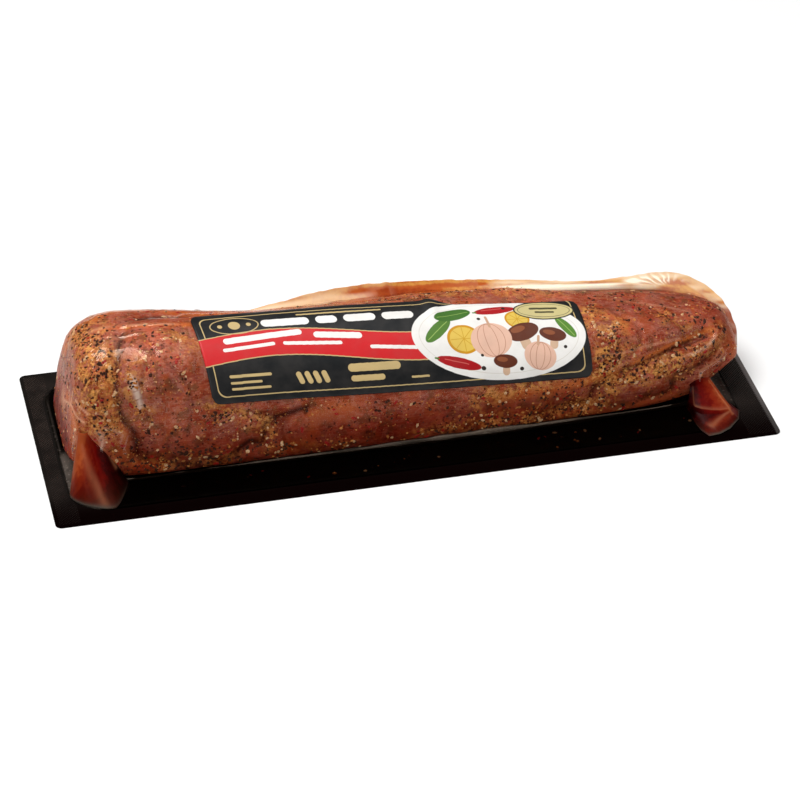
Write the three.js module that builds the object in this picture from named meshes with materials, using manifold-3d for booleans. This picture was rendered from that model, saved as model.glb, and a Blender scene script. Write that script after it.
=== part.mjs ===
// A seasoned raw pork tenderloin in its vacuum pack. The meat fills a clear formed film
// pocket, the pocket is sealed all round to a flat black base sheet, and a printed label
// lies on its front and top.
//
// Millimetres. The origin is the middle of the base sheet's underside. +X runs along the
// pack to its thin end, +Y to the back and +Z up.

import * as THREE from 'three';
import { mergeVertices } from 'three/addons/utils/BufferGeometryUtils.js';
import Module from 'manifold-3d';

const wasm = await Module();
wasm.setup();

// Driving dimensions

const BASE = { length: 280, width: 103.9, thick: 0.6, corner: 2.5 };
const CLEARANCE = 0.3;
const FLOOR = BASE.thick + CLEARANCE;

// The film's seal line: a rounded rectangle on the base sheet
const SEAL = { left: -132.5, right: 128.7, front: -45, back: 45, corner: 15, film: 0.4 };

// The filled body's two ends, and how blunt each is above and below (less is blunter)
const ENDS = [
  { x: -128.5, upper: 0.26, lower: 0.17, lean: 8.5 },
  { x: 134, upper: 0.36, lower: 0.36, lean: 5 },
];
const LEAN = { from: 95, full: 128, level: 0.42 };
const MIDDLE = (ENDS[0].x + ENDS[1].x) / 2;
const HALF = (ENDS[1].x - ENDS[0].x) / 2;

// The body's middle line, from which ridges and granules stand out
const CORE = { from: -90, to: 96, z: 14 };

// Cross-sections along the body: its crest height, front and back faces, and the ease of
// its two shoulders (1 is an ellipse, less is squarer, more is flatter)
const SECTIONS = [
  { x: -128, crest: 53.4, front: -28.0, back: 28.5, frontEase: 0.80, backEase: 0.78 },
  { x: -108, crest: 52.4, front: -29.0, back: 29.0, frontEase: 0.82, backEase: 0.82 },
  { x: -80, crest: 50.0, front: -29.2, back: 29.0, frontEase: 0.92, backEase: 1.03 },
  { x: -50, crest: 48.5, front: -29.0, back: 28.5, frontEase: 1.06, backEase: 1.3 },
  { x: -20, crest: 47.5, front: -29.0, back: 28.0, frontEase: 1.08, backEase: 1.28 },
  { x: 15, crest: 44.5, front: -28.5, back: 28.0, frontEase: 1.00, backEase: 1.00 },
  { x: 40, crest: 41.0, front: -28.0, back: 27.5, frontEase: 0.92, backEase: 0.85 },
  { x: 65, crest: 38.0, front: -27.5, back: 27.0, frontEase: 0.85, backEase: 0.80 },
  { x: 90, crest: 35.5, front: -27.0, back: 26.0, frontEase: 0.80, backEase: 0.80 },
  { x: 120, crest: 33.0, front: -25.5, back: 24.0, frontEase: 0.80, backEase: 0.80 },
];
const LOWER = { share: 0.4, frontEase: 0.16, backEase: 0.24 };

// Mesh of the body: rings at each end and along the middle, and points in each quarter
// of a ring, from the back over the top to the front and underneath
const MESH = { endRings: 6, middleRings: 38, endAngle: 58, quarters: [9, 11, 8, 5] };

// The apron: the film between the body's foot and the seal line. Its foot keeps these shares
// of the seal line's reach, and rises most at the two ends.
const APRON = { points: 72, footX: 0.93, footY: 0.62, rise: 1.6, endRise: 3, endFrom: 0.9, middle: 3 };

// Seams between the muscles, as points of x and turn (0 back, 0.5 crest, 1 front, 1.5 under)
const SEAMS = [
  {
    depth: 1.9,
    width: 3.2,
    path: [
      [-107.4, 0.54], [-110.5, 0.61], [-113.4, 0.79], [-111.6, 0.93],
      [-105.9, 1.0], [-95.2, 1.04], [-82.3, 1.11],
    ],
  },
  { depth: 1.6, width: 3.4, path: [[-40, 0.95], [-56, 1.0], [-68, 1.02], [-81.6, 1.2]] },
  {
    depth: 1.9,
    width: 3.0,
    path: [
      [120.9, 0.71], [105.3, 0.82], [85.2, 0.936], [72.2, 1.0], [57.9, 1.02], [47, 1.2],
    ],
  },
  { depth: 1.3, width: 2.6, path: [[125.6, 0.86], [115.3, 0.97], [105, 1.0], [90.7, 1.01]] },
  { depth: 1.4, width: 3.0, path: [[-98, 0.44], [-40, 0.36], [20, 0.40], [75, 0.36], [104, 0.4]] },
];

// The relief fades out where the body stands on the base sheet
const HELD = { from: 1, over: 6 };

// Round swellings of the muscles between the seams
const SWELLINGS = [
  { at: [-92, 0.8], height: 1.3, radius: 15 },
  { at: [-62, 1.05], height: 0.9, radius: 14 },
  { at: [-20, 1.06], height: 0.7, radius: 18 },
  { at: [88, 0.7], height: 0.9, radius: 13 },
  { at: [98, 1.04], height: 0.8, radius: 12 },
  { at: [-30, 0.2], height: 1.2, radius: 20 },
  { at: [50, 0.15], height: 1.0, radius: 22 },
  { at: [-95, 0.15], height: 1.2, radius: 18 },
];

// The ridge of spare film along the back of the crest and round the thin end: its path as
// points of x, y, z on the body and its height there
const RIDGE = {
  halfWidth: 3.4,
  sunk: 2.5,
  edge: 0.7,
  steps: 46,
  wave: { size: 0.35, turns: 40, fullHeight: 3 },
  path: [
    { at: [-54, 15.5, 41.6], height: 0.2 },
    { at: [-42, 15, 41.2], height: 2.4 },
    { at: [-28, 14.5, 41.0], height: 5.0 },
    { at: [-6, 15.5, 40.0], height: 6.0 },
    { at: [22, 17, 38.2], height: 5.0 },
    { at: [52, 18, 35.0], height: 4.2 },
    { at: [80, 18, 31.8], height: 3.4 },
    { at: [98, 17, 30.0], height: 5.0 },
    { at: [112, 14.5, 28.6], height: 7.3 },
    { at: [122, 11, 26.6], height: 6.8 },
    { at: [128.6, 4, 24.8], height: 4.6 },
    { at: [131.8, -5, 21.0], height: 3.0 },
    { at: [132.6, -11, 15.0], height: 1.6 },
  ],
};

// The four ears, where the film stands in pleats between a corner of the body and the
// round corner of the seal line. Apex is the top, foot the line on the base sheet, and a
// fall under 1 keeps the ear high until it is near its foot.
const EARS = [
  {
    apex: [-124.4, -22.2, 21],
    apexWidth: 4.2,
    foot: [
      [-131.2, -29], [-130.9, -34.5], [-127.5, -39.6], [-122.2, -42.8],
      [-118, -44], [-114.6, -42.4], [-108.5, -31],
    ],
    core: [-110, -12],
    fall: 1.15,
    pleats: 3,
    pleatDepth: 0.9,
  },
  {
    apex: [119, -22, 9.5],
    apexWidth: 4,
    foot: [
      [127.8, -27], [128, -34], [125.2, -40.2], [120, -43.6],
      [115.5, -43.8], [111.6, -39.5], [108, -28],
    ],
    core: [106, -12],
    fall: 0.5,
    pleats: 2,
    pleatDepth: 1.4,
  },
  {
    apex: [-121, 23.5, 19],
    apexWidth: 4.2,
    foot: [
      [-123, 28.5], [-125.6, 35], [-124, 40.4], [-119.5, 43.4],
      [-113.5, 43.6], [-107.5, 39.5], [-104, 31],
    ],
    core: [-110, 12],
    fall: 1.05,
    pleats: 3,
    pleatDepth: 0.9,
  },
  {
    apex: [119.5, 19.5, 15],
    apexWidth: 4.5,
    foot: [
      [127.8, 22], [128, 32], [125.2, 39.6], [120, 43.2],
      [113.5, 44], [108, 39.5], [104, 28],
    ],
    core: [104, 8],
    fall: 0.85,
    pleats: 3,
    pleatDepth: 1.0,
  },
];
const EAR_MESH = { around: 18, up: 8 };

// The label: a rectangle wrapped on the body, measured along the surface from its lower
// edge, whose height is given at the left and the right. Its upper edge stays in front of
// upperY, and the relief under it and this far round it has no bumps.
const LABEL = {
  left: -76,
  leftSlant: -3.5,
  right: 71,
  width: 40,
  lowerEdge: [30, 20.5],
  corner: 3,
  lift: 0.4,
  thick: 0.4,
  columns: 26,
  rows: 9,
  edgeSteps: [0.8, 2.2],
  turns: [1.15, 0.2],
  upperY: 6,
  margin: 4,
};

// Granules of seasoning that stand up under the film, some of them in the front seams, clear
// of the label, the ridge, the ears and the base sheet
const GRANULES = {
  count: 105,
  seed: 11,
  smallest: 0.75,
  largest: 1.5,
  flattest: 0.6,
  spacing: 4.2,
  x: [-122, 124],
  turn: [-0.12, 1.13],
  inSeams: 0.35,
  frontSeams: 4,
  offRidge: 7,
  offEar: 8,
  lowest: 6,
  sunk: 0.2,
};

// Small helpers

function clamp(value, low, high) {
  return Math.min(high, Math.max(low, value));
}

function ease(t) {
  const k = clamp(t, 0, 1);
  return k * k * (3 - 2 * k);
}

function between([low, high], share) {
  return low + (high - low) * share;
}

function signedPower(value, exponent) {
  return Math.sign(value) * Math.abs(value) ** exponent;
}

function randomFrom(seed) {
  let state = seed;
  return () => {
    state = (state + 0x6d2b79f5) | 0;
    let t = Math.imul(state ^ (state >>> 15), 1 | state);
    t = (t + Math.imul(t ^ (t >>> 7), 61 | t)) ^ t;
    return ((t ^ (t >>> 14)) >>> 0) / 4294967296;
  };
}

// A smooth value through the stations, level beyond the first and the last
function along(stations, key, x) {
  const last = stations.length - 1;
  if (x <= stations[0].x) return stations[0][key];
  if (x >= stations[last].x) return stations[last][key];
  const i = stations.findIndex((s) => s.x > x) - 1;
  const slope = (n) => {
    if (n <= 0 || n >= last) return 0;
    return (stations[n + 1][key] - stations[n - 1][key]) / (stations[n + 1].x - stations[n - 1].x);
  };
  const a = stations[i];
  const b = stations[i + 1];
  const span = b.x - a.x;
  const t = (x - a.x) / span;
  const bend = t * (1 - t);
  const blend = ease(t);
  return (
    a[key] * (1 - blend) + b[key] * blend +
    span * bend * (slope(i) * (1 - t) - slope(i + 1) * t)
  );
}

// The body's surface

function endEase(turn, end) {
  const down = ease(0.5 - Math.sin(turn * Math.PI));
  return end.upper * (1 - down) + end.lower * down;
}

// How far a section has closed at x: 1 in the middle, 0 at the end
function closing(x, turn) {
  const reach = clamp((x - MIDDLE) / HALF, -1, 1);
  const e = endEase(turn, ENDS[reach < 0 ? 0 : 1]);
  return (1 - Math.abs(reach) ** (2 / e)) ** (e / 2);
}

function bodyPoint(x, turn, open = closing(x, turn)) {
  const crest = along(SECTIONS, 'crest', x);
  const front = along(SECTIONS, 'front', x);
  const back = along(SECTIONS, 'back', x);
  const sine = Math.sin(turn * Math.PI);
  const cosine = Math.cos(turn * Math.PI);
  const upper = along(SECTIONS, cosine < 0 ? 'frontEase' : 'backEase', x);
  const lower = cosine < 0 ? LOWER.frontEase : LOWER.backEase;
  const shoulder = sine < 0 ? lower : upper;
  const tall = (crest - FLOOR) * (sine < 0 ? LOWER.share : 1 - LOWER.share);
  const y = (front + back) / 2 + open * ((back - front) / 2) * signedPower(cosine, shoulder);
  const z = FLOOR + (crest - FLOOR) * LOWER.share + open * tall * signedPower(sine, shoulder);
  const end = ENDS[x < 0 ? 0 : 1];
  const leaning = ease((Math.abs(x) - LEAN.from) / (LEAN.full - LEAN.from));
  const shift = Math.sign(x) * end.lean * leaning * (LEAN.level - z / crest);
  return new THREE.Vector3(x + shift, y, z);
}

function bodyNormal(x, turn) {
  const step = 0.5;
  const swing = 0.01;
  const alongX = bodyPoint(x + step, turn).sub(bodyPoint(x - step, turn));
  const around = bodyPoint(x, turn + swing).sub(bodyPoint(x, turn - swing));
  return alongX.cross(around).negate().normalize();
}

// Relief of the muscles

const seamLines = SEAMS.map((seam) => {
  const curve = new THREE.CatmullRomCurve3(seam.path.map(([x, turn]) => bodyPoint(x, turn)));
  return { ...seam, points: curve.getPoints(seam.path.length * 4) };
});
const swellingPoints = SWELLINGS.map((s) => ({ ...s, point: bodyPoint(...s.at) }));

function distanceToLine(point, points) {
  const segment = new THREE.Line3();
  const nearest = new THREE.Vector3();
  let best = Infinity;
  for (let i = 1; i < points.length; i += 1) {
    segment.set(points[i - 1], points[i]);
    segment.closestPointToPoint(point, true, nearest);
    best = Math.min(best, nearest.distanceTo(point));
  }
  return best;
}

function lowerEdgeOfLabel(x) {
  return between(LABEL.lowerEdge, (x - LABEL.left) / (LABEL.right - LABEL.left));
}

function underLabel(point) {
  const { margin } = LABEL;
  const left = LABEL.left + LABEL.leftSlant - margin;
  const inX = point.x > left && point.x < LABEL.right + margin;
  const above = point.z > lowerEdgeOfLabel(point.x) - margin;
  return inX && above && point.y < LABEL.upperY + margin;
}

function relief(point) {
  let height = 0;
  for (const seam of seamLines) {
    const d = distanceToLine(point, seam.points) / seam.width;
    height -= seam.depth * Math.exp(-d * d);
  }
  for (const s of swellingPoints) {
    const d = s.point.distanceTo(point) / s.radius;
    height += s.height * Math.exp(-d * d);
  }
  const held = ease((point.z - FLOOR - HELD.from) / HELD.over);
  return (underLabel(point) ? Math.min(height, 0) : height) * held;
}

// The way out of the body at a point near its surface
function outwardFromCore(point) {
  const core = new THREE.Vector3(clamp(point.x, CORE.from, CORE.to), 0, CORE.z);
  return point.clone().sub(core);
}

// Solids

function roundedRectangle(left, right, front, back, r) {
  const outline = new THREE.Shape();
  outline.moveTo(left + r, front);
  outline.lineTo(right - r, front);
  outline.absarc(right - r, front + r, r, -Math.PI / 2, 0);
  outline.lineTo(right, back - r);
  outline.absarc(right - r, back - r, r, 0, Math.PI / 2);
  outline.lineTo(left + r, back);
  outline.absarc(left + r, back - r, r, Math.PI / 2, Math.PI);
  outline.lineTo(left, front + r);
  outline.absarc(left + r, front + r, r, Math.PI, 1.5 * Math.PI);
  return outline;
}

function toManifold(geometry) {
  const plain = geometry.clone();
  plain.deleteAttribute('normal');
  plain.deleteAttribute('uv');
  const merged = mergeVertices(plain, 1e-4);
  return new wasm.Manifold(new wasm.Mesh({
    numProp: 3,
    vertProperties: new Float32Array(merged.attributes.position.array),
    triVerts: new Uint32Array(merged.index.array),
  }));
}

function fromManifold(solid) {
  const mesh = solid.getMesh();
  const geometry = new THREE.BufferGeometry();
  geometry.setAttribute('position', new THREE.BufferAttribute(mesh.vertProperties, 3));
  geometry.setIndex(new THREE.BufferAttribute(mesh.triVerts, 1));
  geometry.computeVertexNormals();
  return geometry;
}

function signedVolume(points, triangles) {
  let sum = 0;
  for (let i = 0; i < triangles.length; i += 3) {
    const [a, b, c] = [0, 1, 2].map((k) => points[triangles[i + k]]);
    sum += a.dot(new THREE.Vector3().crossVectors(b, c));
  }
  return sum / 6;
}

// A closed mesh through a row of rings with equal numbers of points, with a point or the
// ring's own middle to close each end
function loft(rings, firstPole, lastPole) {
  const size = rings[0].length;
  const points = rings.flat();
  const triangles = [];
  for (let r = 0; r + 1 < rings.length; r += 1) {
    for (let k = 0; k < size; k += 1) {
      const a = r * size + k;
      const b = r * size + ((k + 1) % size);
      triangles.push(a, b, a + size, b, b + size, a + size);
    }
  }
  const middle = (ring) => ring
    .reduce((sum, p) => sum.add(p), new THREE.Vector3())
    .divideScalar(ring.length);
  const lastRing = (rings.length - 1) * size;
  points.push(firstPole ?? middle(rings[0]), lastPole ?? middle(rings[rings.length - 1]));
  for (let k = 0; k < size; k += 1) {
    const next = (k + 1) % size;
    triangles.push(next, k, points.length - 2);
    triangles.push(lastRing + k, lastRing + next, points.length - 1);
  }
  if (signedVolume(points, triangles) < 0) triangles.reverse();
  const geometry = new THREE.BufferGeometry().setFromPoints(points);
  geometry.setIndex(triangles);
  return geometry;
}

// A thin closed sheet between two equal grids of points
function shell(inner, outer) {
  const columns = inner.length;
  const rows = inner[0].length;
  const points = [...inner.flat(), ...outer.flat()];
  const top = columns * rows;
  const triangles = [];
  const quad = (a, b, c, d) => triangles.push(a, b, c, a, c, d);
  for (let c = 0; c + 1 < columns; c += 1) {
    for (let r = 0; r + 1 < rows; r += 1) {
      const a = c * rows + r;
      quad(a, a + 1, a + rows + 1, a + rows);
      quad(top + a, top + a + rows, top + a + rows + 1, top + a + 1);
    }
    const low = c * rows;
    const high = low + rows - 1;
    quad(low, low + rows, top + low + rows, top + low);
    quad(high, top + high, top + high + rows, high + rows);
  }
  for (let r = 0; r + 1 < rows; r += 1) {
    const last = (columns - 1) * rows + r;
    quad(r, top + r, top + r + 1, r + 1);
    quad(last, last + 1, top + last + 1, top + last);
  }
  if (signedVolume(points, triangles) < 0) triangles.reverse();
  const geometry = new THREE.BufferGeometry().setFromPoints(points);
  geometry.setIndex(triangles);
  return geometry;
}

// The filled body

// Points of a dense open line, spaced evenly by length with more where it turns sharply
function respaced(line, count) {
  const turnWeight = 9;
  const measure = [0];
  for (let i = 1; i < line.length; i += 1) {
    const step = line[i].distanceTo(line[i - 1]);
    let turning = 0;
    if (i + 1 < line.length) {
      const before = line[i].clone().sub(line[i - 1]);
      const after = line[i + 1].clone().sub(line[i]);
      turning = before.lengthSq() * after.lengthSq() > 0 ? before.angleTo(after) : 0;
    }
    measure.push(measure[i - 1] + step + turnWeight * turning);
  }
  const total = measure[measure.length - 1];
  const result = [];
  let i = 1;
  for (let n = 0; n < count; n += 1) {
    const wanted = (total * n) / count;
    while (measure[i] < wanted) i += 1;
    const t = (wanted - measure[i - 1]) / (measure[i] - measure[i - 1] || 1);
    result.push(line[i - 1].clone().lerp(line[i], t));
  }
  return result;
}

function bodyRing(place) {
  const dense = 60;
  return MESH.quarters.flatMap((count, quarter) => {
    const line = [];
    for (let k = 0; k <= dense; k += 1) line.push(place((quarter + k / dense) / 2));
    return respaced(line, count);
  });
}

function filledBody() {
  const rings = [];
  const lastAngle = THREE.MathUtils.degToRad(MESH.endAngle);
  const endX = (end, angle, turn) => {
    const side = Math.sign(end.x);
    return MIDDLE + side * HALF * Math.cos(angle) ** endEase(turn, end);
  };
  const endRing = (end, angle) => bodyRing((turn) => {
    const open = Math.sin(angle) ** endEase(turn, end);
    return bodyPoint(endX(end, angle, turn), turn, open);
  });
  for (let i = 1; i <= MESH.endRings; i += 1) {
    rings.push(endRing(ENDS[0], (lastAngle * i) / MESH.endRings));
  }
  for (let i = 1; i <= MESH.middleRings; i += 1) {
    const t = i / (MESH.middleRings + 1);
    rings.push(bodyRing((turn) => {
      const left = endX(ENDS[0], lastAngle, turn);
      const right = endX(ENDS[1], lastAngle, turn);
      return bodyPoint(left + t * (right - left), turn);
    }));
  }
  for (let i = MESH.endRings; i >= 1; i -= 1) {
    rings.push(endRing(ENDS[1], (lastAngle * i) / MESH.endRings));
  }
  const size = rings[0].length;
  const raised = rings.map((ring, r) => ring.map((point, k) => {
    const before = rings[Math.max(r - 1, 0)][k];
    const after = rings[Math.min(r + 1, rings.length - 1)][k];
    const lengthwise = after.clone().sub(before);
    const around = ring[(k + 1) % size].clone().sub(ring[(k + size - 1) % size]);
    const outward = around.cross(lengthwise).normalize();
    return point.clone().addScaledVector(outward, relief(point));
  }));
  return loft(raised, bodyPoint(ENDS[0].x, 0, 0), bodyPoint(ENDS[1].x, 0, 0));
}

// The apron

function apron() {
  const { left, right, front, back, corner, film } = SEAL;
  const halfX = (right - left) / 2;
  const halfY = (back - front) / 2;
  const midX = (left + right) / 2;
  const outline = roundedRectangle(left, right, front, back, corner);
  const edge = outline.getSpacedPoints(APRON.points).slice(0, APRON.points);
  const ringAt = (t, z) => edge.map((p) => {
    const dx = (p.x - midX) / halfX;
    const dy = p.y / halfY;
    const foot = new THREE.Vector2(midX + dx * halfX * APRON.footX, dy * halfY * APRON.footY);
    const atEnd = ease((Math.abs(dx) - APRON.endFrom) / (1 - APRON.endFrom));
    const rise = (APRON.rise + APRON.endRise * atEnd) * t * t;
    foot.lerp(p, 1 - t);
    return new THREE.Vector3(foot.x, foot.y, z + rise);
  });
  const top = FLOOR + film;
  return loft(
    [ringAt(0, FLOOR), ringAt(0, top), ringAt(0.5, top), ringAt(1, top)],
    new THREE.Vector3(midX, 0, FLOOR),
    new THREE.Vector3(midX, 0, top + APRON.middle),
  );
}

// The ridge of spare film

function ridge() {
  const { path, steps, halfWidth, edge, wave } = RIDGE;
  const curve = new THREE.CatmullRomCurve3(path.map((p) => new THREE.Vector3(...p.at)));
  const heights = new THREE.CatmullRomCurve3(path.map((p, i) => new THREE.Vector3(i, p.height, 0)));
  const rings = [];
  for (let i = 0; i <= steps; i += 1) {
    const t = i / steps;
    const at = curve.getPoint(t);
    const tangent = curve.getTangent(t);
    const outward = outwardFromCore(at);
    outward.addScaledVector(tangent, -outward.dot(tangent)).normalize();
    const across = tangent.clone().cross(outward);
    const height = heights.getPoint(t).y;
    const half = Math.min(halfWidth, 0.8 + height * 0.8);
    const sway = wave.size * Math.sin(t * wave.turns) * Math.min(1, height / wave.fullHeight);
    const point = (side, up) => at.clone()
      .addScaledVector(across, side + (sway * Math.max(up, 0)) / 4)
      .addScaledVector(outward, up);
    rings.push([
      point(-half, -RIDGE.sunk), point(-half * 0.8, 0), point(-half * 0.35, height * 0.55),
      point(-edge, height * 0.93), point(0, height), point(edge, height * 0.93),
      point(half * 0.35, height * 0.55), point(half * 0.8, 0), point(half, -RIDGE.sunk),
    ]);
  }
  return loft(rings);
}

// The ears

function ear(spec) {
  const { around, up } = EAR_MESH;
  const foot = new THREE.CatmullRomCurve3(
    spec.foot.map(([x, y]) => new THREE.Vector3(x, y, FLOOR + SEAL.film)),
  );
  const apex = new THREE.Vector3(...spec.apex);
  const core = new THREE.Vector3(spec.core[0], spec.core[1], 0);
  const first = foot.getPoint(0);
  const last = foot.getPoint(1);
  const spread = last.clone().sub(first).setZ(0).normalize();
  const rings = [];
  for (let v = 0; v <= up; v += 1) {
    const rise = v / up;
    const z = (apex.z - FLOOR - SEAL.film) * rise ** spec.fall;
    const ring = [];
    for (let u = 0; u <= around; u += 1) {
      const s = u / around;
      const base = foot.getPoint(s);
      const top = apex.clone().addScaledVector(spread, (s - 0.5) * spec.apexWidth);
      const point = base.lerp(top.setZ(base.z), rise);
      const inward = core.clone().sub(point).setZ(0).normalize();
      const pleat = Math.sin(s * Math.PI * 2 * spec.pleats) * spec.pleatDepth;
      const strength = 4 * rise * (1 - rise) * Math.min(1, 4 * s * (1 - s) + 0.2);
      point.addScaledVector(inward, (pleat + spec.pleatDepth) * strength);
      point.z += z;
      ring.push(point);
    }
    ring.push(new THREE.Vector3(core.x, core.y, FLOOR + SEAL.film + z));
    rings.push(ring);
  }
  const under = rings[0].map((p) => p.clone().setZ(FLOOR));
  rings.unshift(under);
  const lowPole = core.clone().setZ(FLOOR);
  const highPole = apex.clone().lerp(core.setZ(apex.z), 0.5);
  return loft(rings, lowPole, highPole);
}

// The label's columns of points, from its lower edge up over the crest

function labelColumn(x, edges, lift) {
  const dense = 500;
  const line = [];
  for (let k = 0; k <= dense; k += 1) {
    const turn = between(LABEL.turns, k / dense);
    line.push({ turn, point: bodyPoint(x, turn) });
  }
  const start = line.findIndex((p) => p.point.z >= lowerEdgeOfLabel(x));
  const nearEdge = Math.min(edges.fromLeft, edges.fromRight);
  const cut = nearEdge < LABEL.corner
    ? LABEL.corner - Math.sqrt(LABEL.corner ** 2 - (LABEL.corner - nearEdge) ** 2)
    : 0;
  const stops = [];
  for (let n = 0; n <= LABEL.rows; n += 1) {
    stops.push(cut + ((LABEL.width - 2 * cut) * n) / LABEL.rows);
  }
  let travelled = 0;
  let i = start;
  return stops.map((stop) => {
    while (travelled < stop) {
      i += 1;
      travelled += line[i].point.distanceTo(line[i - 1].point);
    }
    const placeX = x + LABEL.leftSlant * (stop / LABEL.width) * edges.share;
    const { turn } = line[i];
    return bodyPoint(placeX, turn).addScaledVector(bodyNormal(placeX, turn), lift);
  });
}

function label() {
  const length = LABEL.right - LABEL.left;
  const [near, far] = LABEL.edgeSteps;
  const inner = LABEL.columns - 4;
  const stops = [0, near, far];
  for (let i = 1; i < inner; i += 1) {
    stops.push(LABEL.corner + ((length - 2 * LABEL.corner) * i) / inner);
  }
  stops.push(length - far, length - near, length);
  const face = (lift) => stops.map((d) => {
    const edges = { fromLeft: d, fromRight: length - d, share: 1 - d / length };
    return labelColumn(LABEL.left + d, edges, lift);
  });
  return shell(face(LABEL.lift), face(LABEL.lift + LABEL.thick));
}

// Seasoning

function granules() {
  const g = GRANULES;
  const random = randomFrom(g.seed);
  const ridgePath = new THREE.CatmullRomCurve3(RIDGE.path.map((p) => new THREE.Vector3(...p.at)));
  const ridgeLine = ridgePath.getPoints(60);
  const apexes = EARS.map((e) => new THREE.Vector3(...e.apex));
  const taken = [];
  const result = [];
  while (result.length < g.count) {
    const seam = seamLines[Math.floor(random() * g.frontSeams)];
    let point = bodyPoint(between(g.x, random()), between(g.turn, random()));
    if (random() < g.inSeams) point = seam.points[Math.floor(random() * seam.points.length)].clone();
    const size = between([g.smallest, g.largest], random() ** 2);
    const flatness = between([g.flattest, 1], random());
    const spin = new THREE.Euler(random() * 6, random() * 6, random() * 6);
    const clear = taken.every((p) => p.distanceTo(point) > g.spacing)
      && !underLabel(point)
      && distanceToLine(point, ridgeLine) > g.offRidge
      && apexes.every((apex) => apex.distanceTo(point) > g.offEar)
      && point.z > g.lowest;
    if (!clear) continue;
    taken.push(point);
    const shape = new THREE.IcosahedronGeometry(size, 0);
    shape.scale(1, flatness, 0.8);
    shape.applyMatrix4(new THREE.Matrix4().makeRotationFromEuler(spin));
    result.push({ shape, point, size });
  }
  return result;
}

// A granule is seated on the body's own relief, a little under the surface
function seated({ shape, point, size }) {
  const outward = outwardFromCore(point).normalize();
  const at = point.clone().addScaledVector(outward, relief(point) - size * GRANULES.sunk);
  return shape.translate(at.x, at.y, at.z);
}

function filledPocket() {
  let solid = toManifold(filledBody());
  solid = solid.add(toManifold(apron()));
  solid = solid.add(toManifold(ridge()));
  for (const spec of EARS) solid = solid.add(toManifold(ear(spec)));
  for (const granule of granules()) solid = solid.add(toManifold(seated(granule)));
  return fromManifold(solid);
}

function baseSheet() {
  const { length, width, thick, corner } = BASE;
  const outline = roundedRectangle(-length / 2, length / 2, -width / 2, width / 2, corner);
  return new THREE.ExtrudeGeometry(outline, { depth: thick, bevelEnabled: false, curveSegments: 5 });
}

// The object

const group = new THREE.Group();

function addPart(name, geometry, color, roughness) {
  const material = new THREE.MeshStandardMaterial({ color, roughness, metalness: 0 });
  const mesh = new THREE.Mesh(geometry, material);
  mesh.name = name;
  group.add(mesh);
}

addPart('base_sheet', baseSheet(), 0x1c1a1a, 0.45);
addPart('filled_film_pocket', filledPocket(), 0x8a4a3c, 0.3);
addPart('label', label(), 0x1f2326, 0.4);

export default group;
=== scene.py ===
"""A seasoned raw pork tenderloin in its vacuum pack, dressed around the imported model.

Laid out as an add-on: each operator makes one piece, or one group of like pieces. Tables and
point functions are in millimetres, as a maker would measure the pack, and meshes are in metres.
The origin is the middle of the base sheet's underside, +X runs to the pack's thin end, +Y to
its back and +Z up.
"""

import functools
import itertools
import math

import bpy
import numpy as np
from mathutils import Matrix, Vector


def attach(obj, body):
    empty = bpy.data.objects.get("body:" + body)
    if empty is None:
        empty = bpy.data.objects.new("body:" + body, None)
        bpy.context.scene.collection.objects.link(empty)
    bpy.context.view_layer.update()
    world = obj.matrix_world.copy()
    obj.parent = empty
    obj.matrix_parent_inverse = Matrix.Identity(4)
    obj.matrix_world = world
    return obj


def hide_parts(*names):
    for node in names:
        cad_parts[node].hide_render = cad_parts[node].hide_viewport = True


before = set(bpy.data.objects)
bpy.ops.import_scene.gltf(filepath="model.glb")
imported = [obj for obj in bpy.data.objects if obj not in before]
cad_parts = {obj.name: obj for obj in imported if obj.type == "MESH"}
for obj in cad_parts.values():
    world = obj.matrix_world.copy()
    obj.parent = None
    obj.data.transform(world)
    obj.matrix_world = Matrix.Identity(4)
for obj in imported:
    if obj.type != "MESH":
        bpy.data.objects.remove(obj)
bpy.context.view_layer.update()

bl_info = {
    "name": "Tenderloin Pack",
    "version": (1, 0, 0),
    "blender": (4, 5, 0),
    "location": "View3D > Sidebar > Tenderloin Pack",
    "description": "Makes a seasoned pork tenderloin in clear film on a flat black base sheet",
    "category": "Add Mesh",
}

MM = 0.001

# Base sheet, the level of the meat's underside, and the seal line

BASE = {"length": 280.0, "width": 103.9, "thick": 0.6, "corner": 2.5, "edge": 0.14}
FLOOR = 0.9
SEAL = {"left": -132.5, "right": 128.7, "front": -45.0, "back": 45.0, "corner": 15.0}

# The filled body: its two ends (x, ease above, ease below, lean), and its cross-sections
# (x, crest, front, back, ease of the front shoulder, ease of the back shoulder)

ENDS = ((-128.5, 0.26, 0.17, 8.5), (134.0, 0.36, 0.36, 5.0))
LEAN = {"from": 95.0, "full": 128.0, "level": 0.42}
MIDDLE = (ENDS[0][0] + ENDS[1][0]) / 2
HALF = (ENDS[1][0] - ENDS[0][0]) / 2
SECTIONS = np.array((
    (-128, 53.4, -28.0, 28.5, 0.80, 0.78),
    (-108, 52.4, -29.0, 29.0, 0.82, 0.82),
    (-80, 50.0, -29.2, 29.0, 0.92, 1.03),
    (-50, 48.5, -29.0, 28.5, 1.06, 1.30),
    (-20, 47.5, -29.0, 28.0, 1.08, 1.28),
    (15, 44.5, -28.5, 28.0, 1.00, 1.00),
    (40, 41.0, -28.0, 27.5, 0.92, 0.85),
    (65, 38.0, -27.5, 27.0, 0.85, 0.80),
    (90, 35.5, -27.0, 26.0, 0.80, 0.80),
    (120, 33.0, -25.5, 24.0, 0.80, 0.80),
))
LOWER = {"share": 0.4, "front": 0.16, "back": 0.24}

# Paths on the body are of x and turn: turn is 0 at the back, 0.5 at the crest, 1 at the front
# and 1.5 underneath. Seams between the muscles: depth, width and path

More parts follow.
